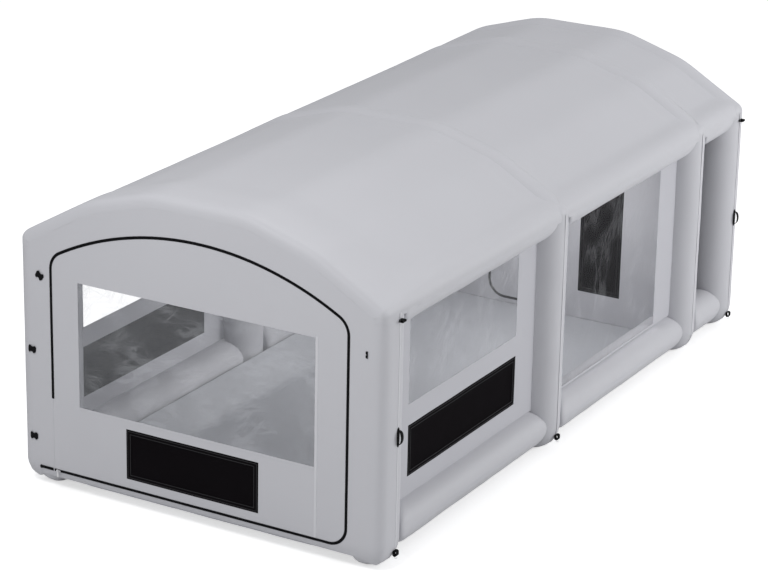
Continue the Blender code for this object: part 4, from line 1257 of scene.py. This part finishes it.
# %% Sew the zip and the strips
zip_flat = door_outline(0.0) + [(-DOOR_HALF, ZIP_START_Z)]
zip_line("door_zip", zip_flat, on_front(0.0006), "front_door", ["door_zip"])
TAIL_X = -1.362
tail = [(TAIL_X, DOOR_BOTTOM), (-DOOR_HALF - 0.012, DOOR_BOTTOM)]
zip_line("zip_tail", tail, on_front(0.0006), "booth_frame", width=0.024)


def make_button(name, centre, facing, radius, rise, rings=4, sides=20):
    """A low round button that looks along facing."""
    facing = Vector(facing).normalized()
    first = facing.orthogonal().normalized()
    second = facing.cross(first)
    points, flat = [tuple(Vector(centre) + facing * rise)], [(0.0, 0.0)]
    for ring in range(1, rings + 1):
        t = ring / rings
        for k in range(sides):
            a = 2 * math.pi * k / sides
            way = first * math.cos(a) + second * math.sin(a)
            points.append(tuple(Vector(centre) + way * radius * t + facing * rise * (1 - t**3)))
            flat.append((radius * t * math.cos(a), radius * t * math.sin(a)))
    faces = [(0, 1 + k, 1 + (k + 1) % sides) for k in range(sides)]
    for ring in range(rings - 1):
        for k in range(sides):
            a, b = 1 + ring * sides + k, 1 + ring * sides + (k + 1) % sides
            faces.append((a, a + sides, b + sides, b))
    faces.append(tuple(1 + (rings - 1) * sides + k for k in range(sides))[::-1])
    piece = point_outwards(mesh_object(name, points, faces, flat))
    return finish_piece(piece, TAPE)


make_button("zip_stopper", (TAIL_X, FRONT_Y - 0.001, DOOR_BOTTOM), (0, -1, 0), 0.014, 0.005)


def strip(name, flat_points, width, rise, material):
    """A welded strip along flat points of the door, with stitches at both edges."""
    points, normals = lay_line(flat_points, on_front(0.0003))
    piece = ribbon(name, points, normals, width, rise)
    finish_piece(piece, material, "front_door")
    across = np.cross(lines_along(points), normals)
    for label, way in (("a", 0.36), ("b", -0.36)):
        repeat_along(f"{name}_stitches_{label}", points + across * width * way + normals * rise, normals,
                     0.008, (0.005, 0.0012, 0.0008), 0.0, THREAD_PALE, "front_door")


(glass_left, glass_right), (glass_bottom, glass_top) = GLASS
seam_x = glass_right + 0.013
strip("window_seam", [(seam_x, DOOR_BOTTOM + 0.014), (seam_x, glass_top + 0.012)], 0.019, 0.0016, SEAM_TINT_AND_HIGHLIGHT)
for label, z in (("top", glass_top + 0.010), ("bottom", glass_bottom - 0.010)):
    strip(f"window_{label}_weld", [(glass_left, z), (glass_right, z)], 0.018, 0.0008, BOOTH)

# %% [markdown]
# ## Side walls
#
# The walls of the first two bays stand between the columns, behind their outer seam. Each
# has a film window, and the first bay has a filter mat below it. The short rear bay's wall
# lies deeper, and its nearly black cloth is painted shade for the deep slot between the
# columns.

# %% Cut the side walls, their windows and filters
TUCK = 0.006
CHAMBER_TOP_GAP = 0.014


def wall_ends(bay, x, bottom, top, levels=14):
    """The wall's two ends, which follow the arches' round sides a little way in."""
    heights = np.linspace(bottom - TUCK, top + TUCK, levels)
    low = [(ARCH_Y[bay] + float(arch_reach(x, z)) - TUCK, z) for z in heights[::-1]]
    high = [(ARCH_Y[bay + 1] - float(arch_reach(x, z)) + TUCK, z) for z in heights]
    return low, high


def on_wall(x, side):
    """Laying functions for one side wall: first how far proud, then the flat points."""
    def layer(proud):
        def place(u, v):
            points = np.column_stack([np.full(len(u), side * x), u, v])
            normals = np.tile([float(side), 0.0, 0.0], (len(u), 1))
            return skin(points, normals, 0.002) + normals * proud, normals
        return place
    return layer


def wall_cuts(bay, x, bottom, top, glass, holes):
    """One sheet round its holes, or four strips where the window takes most of the wall."""
    low, high = wall_ends(bay, x, bottom, top)
    if bay == 0:
        return {"wall": cut_sheet(low + high, holes)}
    (front, rear), (sill, head) = glass
    bottom, top = bottom - TUCK, top + TUCK
    return {
        "wall": cut_sheet(low + [(front, bottom), (front, top)]),
        "wall_rear": cut_sheet([(rear, top), (rear, bottom)] + high),
        "wall_sill": cut_sheet(rectangle((front, rear), (bottom, sill)), spacing=0.02),
        "wall_head": cut_sheet(rectangle((front, rear), (head, top)), spacing=0.02),
    }


for side_name, side in SIDES.items():
    for bay in range(3):
        tag = f"{side_name}_{bay + 1}"
        node = "side_wall_" + tag
        (low, high), tubes = box(node), [f"base_{tag}_tube", f"eave_{tag}_tube"]
        if bay == 2:
            # The rear bay's wall gets the nearly black cloth, which is painted shade for the slot it lies in.
            ends = wall_ends(2, CHAMBER_WALL_X, low[2], high[2] - CHAMBER_TOP_GAP, 30)
            place = on_wall(CHAMBER_WALL_X, side)(0.0)
            make_cloth(f"side_{tag}_wall", node, cut_sheet(ends[0] + ends[1]), place,
                       CHAMBER_SHADE_CLOTH)
            continue
        glass = box_sides("side_window_" + tag, 1, 2)
        holes = [rectangle(*glass)]
        if bay == 0:
            holes.append(rectangle(*box_sides("side_filter_" + side_name, 1, 2)))
        layer = on_wall(WALL_X, side)
        # The walls take the darker copy of the booth's cloth, which is painted shade.
        for part, cut in wall_cuts(bay, WALL_X, low[2], high[2], glass, holes).items():
            wall = make_cloth(f"side_{tag}_{part}", node, cut, layer(0.0), WALL_SHADED_CLOTH)
        film_place = creased(layer(-0.002), 14 + bay)
        make_pane(f"side_{tag}_film", "side_window_" + tag, glass, film_place, SIDE_FILM[bay])
        if bay == 0:
            make_mat(f"side_{side_name}_mat", "side_filter_" + side_name, "booth_frame", layer, (1, 2))

# %% [markdown]
# ## Partition, rear wall and floor
#
# The partition holds a filter mat and a zipped service door. The rear wall closes the
# short rear bay, and the ground sheet is a tub whose sides rise to the base tubes and
# whose front rises to the front panel's lower edge.

# %% Cut the partition, the rear wall and the ground sheet
LEAF = box_sides("partition_door", 0, 2)
FLOOR_LOW, FLOOR_HIGH = box("ground_sheet")
FLOOR_SIDE = 0.223
FLOOR_HALF = FLOOR_HIGH[0] - FLOOR_SIDE
PARTITION_SILL = 0.006
SERVICE_CORNER = 0.15
REAR_CORNER = 0.15
REAR_TOP_DEPTH = 0.315
RAMP_END = 0.30
RAMP_RUN = 0.288


def on_plane(y, facing):
    """Laying functions for an upright cross sheet that looks towards facing along y."""
    def layer(proud):
        def place(u, v):
            points = np.column_stack([u, np.full(len(u), y), v])
            normals = np.tile([0.0, float(facing), 0.0], (len(u), 1))
            return skin(points, normals, 0.002) + normals * proud, normals
        return place
    return layer


def under_roof(right, half, depth):
    """A mirrored edge: right side points, then a line at a depth below the outline."""
    right = right + [(x, float(height_at(x, depth))) for x in np.linspace(half, 0, 24)]
    return right + [(-x, z) for x, z in right[::-1][1:]]


def partition_edge():
    """From the floor up the tub's sloping side, past the base tube and under the roof."""
    half = box("partition_wall")[1][0]
    rim_x, rim_z = FLOOR_HIGH[0] - 0.004, FLOOR_HIGH[2]
    slope = (rim_z - 0.002) / (rim_x - FLOOR_HALF)
    foot = FLOOR_HALF + (PARTITION_SILL - 0.004) / slope - 0.004
    shoulder = BASE_Z + BASE_RADIUS
    right = [(foot, PARTITION_SILL), (rim_x, rim_z), (rim_x, shoulder), (half, shoulder)]
    return under_roof(right, half, ROOF_DROP + 0.004)


across_partition = on_plane(middle("partition_wall")[1], -1)
holes = [rounded(*LEAF, SERVICE_CORNER, 0.002), rectangle(*box_sides("partition_filter", 0, 2))]
cut = cut_sheet(partition_edge(), holes)
make_cloth("partition_cloth", "partition_wall", cut, across_partition(0.0))
cut = cut_sheet(rounded(*LEAF, SERVICE_CORNER))
make_cloth("partition_door_cloth", "partition_door", cut, across_partition(0.0),
           body="partition_door")
make_mat("partition_mat", "partition_filter", "booth_frame", across_partition, (0, 2))

(_, half), (bottom, _) = box_sides("rear_wall", 0, 2)
corner = arc((half - REAR_CORNER, bottom + REAR_CORNER), REAR_CORNER, -math.pi / 2, 0, 10)
vent_radius = span("ventilation_sleeve", 0) / 2
vent = arc(middle("ventilation_sleeve")[[0, 2]], vent_radius, 0, 2 * math.pi, 48)[:-1]
cut = cut_sheet(under_roof(corner, half, REAR_TOP_DEPTH), [vent])
rear_place = on_plane(middle("rear_wall")[1], 1)(0.0)
make_cloth("rear_wall_cloth", "rear_wall", cut, rear_place)


def floor_place(u, v):
    """Flat in the middle; the sides and the front rise along straight slopes."""
    rim_x, rim_z = FLOOR_HIGH[0], FLOOR_HIGH[2]
    past = np.clip((np.abs(u) - FLOOR_HALF) / FLOOR_SLANT, 0, None)
    x = np.sign(u) * np.where(past > 0, FLOOR_HALF + (rim_x - FLOOR_HALF) * past, np.abs(u))
    rise = SILL * np.clip((FRONT_Y + RAMP_END - v) / RAMP_RUN, 0, 1)
    z = rise + (rim_z - rise) * past
    points = np.column_stack([x, v, z])
    points[:, 2] += 0.0025 + np.abs(ripple(points, 0.28, 0.004, 41.0))
    return points, np.tile([0.0, 0.0, 1.0], (len(u), 1))


FLOOR_SLANT = math.hypot(FLOOR_HIGH[0] - FLOOR_HALF, FLOOR_HIGH[2])
flat_half = FLOOR_HALF + FLOOR_SLANT - 0.004
cut = cut_sheet(rectangle((-flat_half, flat_half), (FLOOR_LOW[1] + 0.004, FLOOR_HIGH[1])), spacing=0.05)
floor = lay_sheet("floor_tub", cut, floor_place)
finish_piece(floor, FLOOR_CLOTH, replaces=["ground_sheet"])

# %% [markdown]
# ## Seams, straps and sleeves
#
# Each column has a welded seam down its outer side, a little paler than the cloth; the
# paler tint is partly painted highlight for the light its raised edge catches. The
# tie-backs, handles and loops are black webbing. A backing strap strengthens the cloth
# behind each handle, and small metal rings hang in the loops at the feet.

# %% Weld the seams
SEAM_WIDTH = 0.015
SEAM_FOOT = 0.055
SEAM_END = 0.045
FRONT_SEAM_END = 0.105


def column_line(arch_y, low, high, side, proud=0.0, step=0.04):
    """Points and normals up a column's outer side, from the foot to the eave."""
    z = np.linspace(low, high, max(2, round((high - low) / step)) + 1)
    x = COLUMN_X + TUBE * foot_scale(z) + proud
    points = np.column_stack([side * x, np.full(len(z), arch_y), z])
    normals = np.tile([float(side), 0.0, 0.0], (len(z), 1))
    return skin(points, normals), normals


# The seams' pale cloth is partly painted highlight for the light their raised edge catches.
for arch_name, arch_y in zip(ARCH_NAMES, ARCH_Y):
    for side_name, side in SIDES.items():
        top = EAVE_HEIGHT - (FRONT_SEAM_END if arch_name == "front" else SEAM_END)
        points, normals = column_line(arch_y, SEAM_FOOT, top, side)
        tag = f"{arch_name}_{side_name}"
        finish_piece(ribbon("seam_" + tag, points, normals, SEAM_WIDTH, 0.002), SEAM_TINT_AND_HIGHLIGHT)
        repeat_along("seam_stitches_" + tag, points, normals, 0.009, (0.0055, 0.0013, 0.0009), 0.002,
                     THREAD_PALE, "booth_frame")

# %% Fold the webbing
WEB = 0.0028
TIE_GROWTH = 1.12
TIE_WAIST = 0.55
HANDLE_END = 0.010
BACKING_WIDTH = 0.036
BACKING_LAP = 0.02


def make_ring(name, centre, normal, radius, wire):
    """A wire ring round an axis."""
    normal = Vector(normal).normalized()
    first = Vector((0, 0, 1))
    second = normal.cross(first).normalized()
    points, faces, sides, turns = [], [], 8, 28
    for k in range(turns):
        a = 2 * math.pi * k / turns
        out = first * math.cos(a) + second * math.sin(a)
        for m in range(sides):
            b = 2 * math.pi * m / sides
            points.append(Vector(centre) + out * (radius + wire * math.cos(b)) + normal * wire * math.sin(b))
            n, q = (k + 1) % turns, (m + 1) % sides
            faces.append((k * sides + m, n * sides + m, n * sides + q, k * sides + q))
    return finish_piece(point_outwards(mesh_object(name, points, faces)), METAL)


def make_tie_back(name, slant=0.0):
    """A webbing bow: two lobes with a narrow band folded round the middle."""
    node = "tie_back_" + name
    hub = middle(node)
    half_w = span("tie_back_top", 0) / 2 * TIE_GROWTH
    half_h = span("tie_back_top", 2) / 2 * TIE_GROWTH
    waist = TIE_WAIST * half_h
    lower = []
    for t in np.linspace(-1, 1, 21):
        lower.append((t * half_w, -waist - (half_h - waist) * math.sin(math.pi * abs(t) ** 1.3)))
    cut = cut_sheet(lower + [(u, -v) for u, v in lower[::-1]], spacing=0.006)

    def place(u, v):
        a, b = u * math.cos(slant) - v * math.sin(slant), u * math.sin(slant) + v * math.cos(slant)
        points, normals = wrap_front(hub[0] + a, hub[2] + b)
        puff = 0.004 + 0.005 * np.sin(np.clip(np.abs(u) / half_w, 0, 1) * math.pi)
        return skin(points, normals) + normals * puff[:, None], normals
    finish_piece(lay_sheet(node + "_bow", cut, place, WEB), WEBBING, node, [node])
    v = np.linspace(-waist * 1.25, waist * 1.25, 9)
    points, normals = place(v * 0, v)
    band = ribbon(node + "_band", points + normals * 0.0012, normals, 0.018, 0.002)
    finish_piece(band, WEBBING, node)


make_tie_back("top", math.radians(-32))
make_tie_back("middle", math.radians(-6))
make_tie_back("bottom")

keeper_x, _, keeper_z = middle("door_keeper")
keeper_half = span("door_keeper", 2) / 2
for number, (low, high) in enumerate(((-1.0, -0.06), (0.06, 1.0))):
    t = np.linspace(0, 1, 9)
    points, normals = wrap_front(np.full(9, keeper_x), keeper_z + keeper_half * (low + (high - low) * t))
    bowed = points + normals * (0.001 + 0.006 * np.sin(t * math.pi))[:, None]
    loop = ribbon(f"door_keeper_{number + 1}", bowed, normals, 0.015, WEB)
    finish_piece(loop, WEBBING, replaces=["door_keeper"])


def make_handle(arch_name, arch_y, side_name, side):
    """A bowed strap with narrow sewn ends over a backing strap."""
    node = f"carry_handle_{arch_name}_{side_name}"
    mid_z, half = middle(node)[2], span(node, 2) / 2
    bow = span(node, 0) - WEB
    turn = np.linspace(0, math.pi, 19)
    z = mid_z - half * 0.97 * np.cos(turn)
    x = side * (HALF_WIDTH + 0.0033 + bow * np.sin(turn) ** 0.8)
    points = np.column_stack([x, np.full(len(z), arch_y), z])
    outward = np.cross(lines_along(points), np.array([0.0, 1.0, 0.0])) * -side
    outward *= np.sign((outward @ np.array([side, 0, 0.0])).sum())
    width = HANDLE_END + (span(node, 1) - HANDLE_END) * np.clip(1.3 * np.sin(turn), 0, 1)
    strap = ribbon(node + "_strap", points, outward, width, WEB)
    finish_piece(strap, WEBBING, node, [node])
    reach = half + BACKING_LAP
    points, normals = column_line(arch_y, mid_z - reach, mid_z + reach, side, 0.0005, 0.01)
    t = np.abs(points[:, 2] - mid_z) / reach
    width = BACKING_WIDTH * np.sqrt(np.clip(1 - t**4, 0.02, 1))
    finish_piece(ribbon(node + "_patch", points, normals, width, 0.0028), WEBBING)


def make_loop(name, low, high, side, arch_y, replaces=(), ringed=True):
    """A folded webbing loop that stands out from a column, and the ring that hangs in it."""
    corners = rounded((low[0], high[0]), (low[2], high[2]), (high[2] - low[2]) * 0.28, steps=5)
    points = np.array([(side * x, arch_y, z) for x, z in corners])
    ways = lines_along(points, closed=True)
    outward = np.column_stack([ways[:, 2], np.zeros(len(ways)), -ways[:, 0]])
    outward *= np.sign(((points - points.mean(axis=0)) * outward).sum())
    loop = ribbon(name, points - outward * WEB * 0.5, outward, high[1] - low[1], WEB, closed=True)
    finish_piece(loop, WEBBING, replaces=replaces)
    if ringed:
        centre = (side * ((low[0] + high[0]) / 2 + 0.002), arch_y, low[2] - 0.009)
        make_ring(name + "_ring", centre, (0, 1, 0.35), 0.010, 0.0018)


LOOP = box("anchor_loop_front_right")
CORNER_Z = EAVE_HEIGHT - 0.10
CORNER_LOOP = (np.array([HALF_WIDTH - 0.004, -0.023, CORNER_Z - 0.012]),
               np.array([HALF_WIDTH + 0.034, 0.023, CORNER_Z + 0.004]))
for arch_name, arch_y in zip(ARCH_NAMES, ARCH_Y):
    for side_name, side in SIDES.items():
        tag = f"{arch_name}_{side_name}"
        if arch_name != "third":
            make_loop(f"anchor_loop_{tag}_web", *LOOP, side, arch_y, ["anchor_loop_" + tag])
        if arch_name in ("front", "rear"):
            make_handle(arch_name, arch_y, side_name, side)
            make_loop("corner_loop_" + tag, *CORNER_LOOP, side, arch_y, ringed=False)
            points, normals = column_line(arch_y, CORNER_Z + 0.012, CORNER_Z + 0.05, side, 0.001, 0.01)
            finish_piece(ribbon("corner_tab_" + tag, points, normals, 0.026, WEB), SEAM_TINT_AND_HIGHLIGHT)

# %% Sew the partition's zip and the blower sleeves
(low_x, high_x), (low_z, high_z) = LEAF
r = SERVICE_CORNER
service_zip = [(high_x - 0.02, high_z)]
service_zip += arc((low_x + r, high_z - r), r, math.pi / 2, math.pi, 8)
service_zip += arc((low_x + r, low_z + r), r, math.pi, 1.5 * math.pi, 8)
service_zip += [(high_x - 0.02, low_z)]
zip_line("partition_zip", service_zip, across_partition(0.001), "partition_door")


def make_sleeve(node, folds, strap_back):
    """A cloth sleeve that softens into folds towards its free end, with a strap to tie it."""
    low, high = box(node)
    x, z = middle(node)[[0, 2]]
    radius = span(node, 0) / 2
    strap_y = high[1] - strap_back
    rows, sides = 26, 96
    points, flat = [], []
    for y in np.linspace(low[1], high[1], rows):
        t = (y - low[1]) / (high[1] - low[1])
        tied = math.exp(-(((y - strap_y) / 0.012) ** 2))
        for k in range(sides):
            a = 2 * math.pi * k / sides
            fold = 0.022 * t * math.sin(folds * a + 1.3 * math.sin(2 * a)) + 0.01 * t * math.sin(3 * a + 0.6)
            r = min(radius * (0.975 + fold - 0.05 * tied), radius)
            points.append((x + r * math.cos(a), y, z + r * math.sin(a)))
            flat.append((radius * a, y))
    piece = mesh_object(node + "_cloth", points, grid_faces(rows, sides, wrap=True), flat)
    thicken(piece, CLOTH, np.array([(p[0] - x, 0.0, p[2] - z) for p in points]))
    finish_piece(piece, BOOTH, replaces=[node])
    a = np.linspace(0, 2 * math.pi, 49)[:-1]
    r = radius * 0.945
    ring = np.column_stack([x + r * np.cos(a), np.full(len(a), strap_y), z + r * np.sin(a)])
    outward = np.column_stack([np.cos(a), np.zeros(len(a)), np.sin(a)])
    strap = ribbon(node + "_cloth_strap", ring, outward, 0.02, 0.0022, closed=True)
    finish_piece(strap, WEBBING)


make_sleeve("ventilation_sleeve", 9, 0.06)
make_sleeve("inflation_sleeve", 6, 0.045)

for node in ("zip_slider", "zip_pull", "partition_zip_slider"):
    bpy.data.objects[node].material_slots[0].material = METAL

# %% [markdown]
# ## Floor, light and camera
#
# A plain pale floor, a soft sky and three soft lamps: in front, at the right rear and above.
# Two weak lamps under the roof stand for the daylight that the thin cloth lets through. The
# camera stands where the photographer stood: 30 degrees to the right, 20 degrees up, with a
# long lens.

# %% Light the booth and place the camera
CAMERA_PLACE = Vector((10.4758, -18.7204, 8.6391))
CAMERA_AZIMUTH = math.radians(29.898)
CAMERA_ELEVATION = math.radians(19.959)
CAMERA_ROLL = math.radians(1.15)
CAMERA_LENS = 134.9
FLOOR_REACH = 60.0


def add_to_scene(name, data, place):
    """A new object at a place, turned by a quaternion."""
    thing = bpy.data.objects.new(name, data)
    bpy.context.scene.collection.objects.link(thing)
    thing.location = place
    thing.rotation_mode = "QUATERNION"
    return thing


def make_camera():
    """The fitted camera."""
    data = bpy.data.cameras.new("camera")
    data.lens = CAMERA_LENS
    data.sensor_width = 36.0
    data.clip_end = 200.0
    camera = add_to_scene("camera", data, CAMERA_PLACE)
    level = math.cos(CAMERA_ELEVATION)
    ahead = Vector((-math.sin(CAMERA_AZIMUTH) * level, math.cos(CAMERA_AZIMUTH) * level,
                    -math.sin(CAMERA_ELEVATION)))
    right = ahead.cross(Vector((0, 0, 1))).normalized()
    up = right.cross(ahead)
    turned_right = right * math.cos(CAMERA_ROLL) + up * math.sin(CAMERA_ROLL)
    turned_up = turned_right.cross(ahead)
    camera.rotation_quaternion = Matrix((turned_right, turned_up, -ahead)).transposed().to_quaternion()
    bpy.context.scene.camera = camera


def make_lamp(name, place, aim, size, power):
    """A round soft lamp that looks at a place."""
    data = bpy.data.lights.new(name, "AREA")
    data.shape = "DISK"
    data.size = size
    data.energy = power
    lamp = add_to_scene(name, data, place)
    lamp.rotation_quaternion = (Vector(aim) - Vector(place)).to_track_quat("-Z", "Y")


def make_floor():
    """A matt floor that glows a little only for the camera."""
    material, tree, shader = new_material(
        "studio_floor", Base_Color=(0.80, 0.80, 0.80, 1), Roughness=1.0, Specular_IOR_Level=0.0)
    path = add_node(tree, "ShaderNodeLightPath").outputs
    seen = math_node(tree, "MAXIMUM", path["Is Camera Ray"], path["Is Transmission Ray"])
    glow = add_node(tree, "ShaderNodeEmission", in_Strength=1.0, in_Color=(0.58, 0.58, 0.58, 1))
    both = add_node(tree, "ShaderNodeAddShader", in_0=shader.outputs[0], in_1=glow.outputs[0])
    lift = add_node(tree, "ShaderNodeMixShader", in_Fac=seen, in_1=shader.outputs[0], in_2=both.outputs[0])
    feed(tree, tree.nodes["Material Output"].inputs["Surface"], lift.outputs[0])
    corners = [(x, y, 0) for x, y in rectangle((-FLOOR_REACH, FLOOR_REACH), (-FLOOR_REACH, FLOOR_REACH))]
    piece = mesh_object("studio_floor", corners, [(0, 1, 2, 3)])
    piece.data.materials.append(material)


def make_sky():
    """A soft even sky, which the camera sees as plain white."""
    world = bpy.data.worlds.new("studio_sky")
    bpy.context.scene.world = world
    world.use_nodes = True
    tree = world.node_tree
    tree.nodes.clear()
    path = add_node(tree, "ShaderNodeLightPath")
    plain = add_node(tree, "ShaderNodeBackground", in_Strength=0.50, in_Color=(0.97, 0.98, 1.0, 1))
    white = add_node(tree, "ShaderNodeBackground", in_Strength=1.0)
    mix = add_node(tree, "ShaderNodeMixShader", in_Fac=path.outputs["Is Camera Ray"],
                   in_1=plain.outputs[0], in_2=white.outputs[0])
    add_node(tree, "ShaderNodeOutputWorld", in_Surface=mix.outputs[0])


make_floor()
make_sky()
make_camera()
make_lamp("front", (0.3, -7.8, 7.8), (0.1, -3.0, 1.6), 3.0, 275.0)
make_lamp("right_rear", (13.0, 8.0, 4.5), (0.5, 0, 1), 6.0, 900.0)
make_lamp("top", (-1.0, 4.0, 13.0), (0, 0.5, 2), 6.0, 250.0)
for label, lamp_y, power in (("front", -1.4, 3.0), ("second", 1.2, 18.0)):
    make_lamp("glow_" + label, (0.35, lamp_y, 1.80), (0.35, lamp_y, 0.0), 1.2, power)
bpy.context.scene.view_settings.view_transform = "Standard"
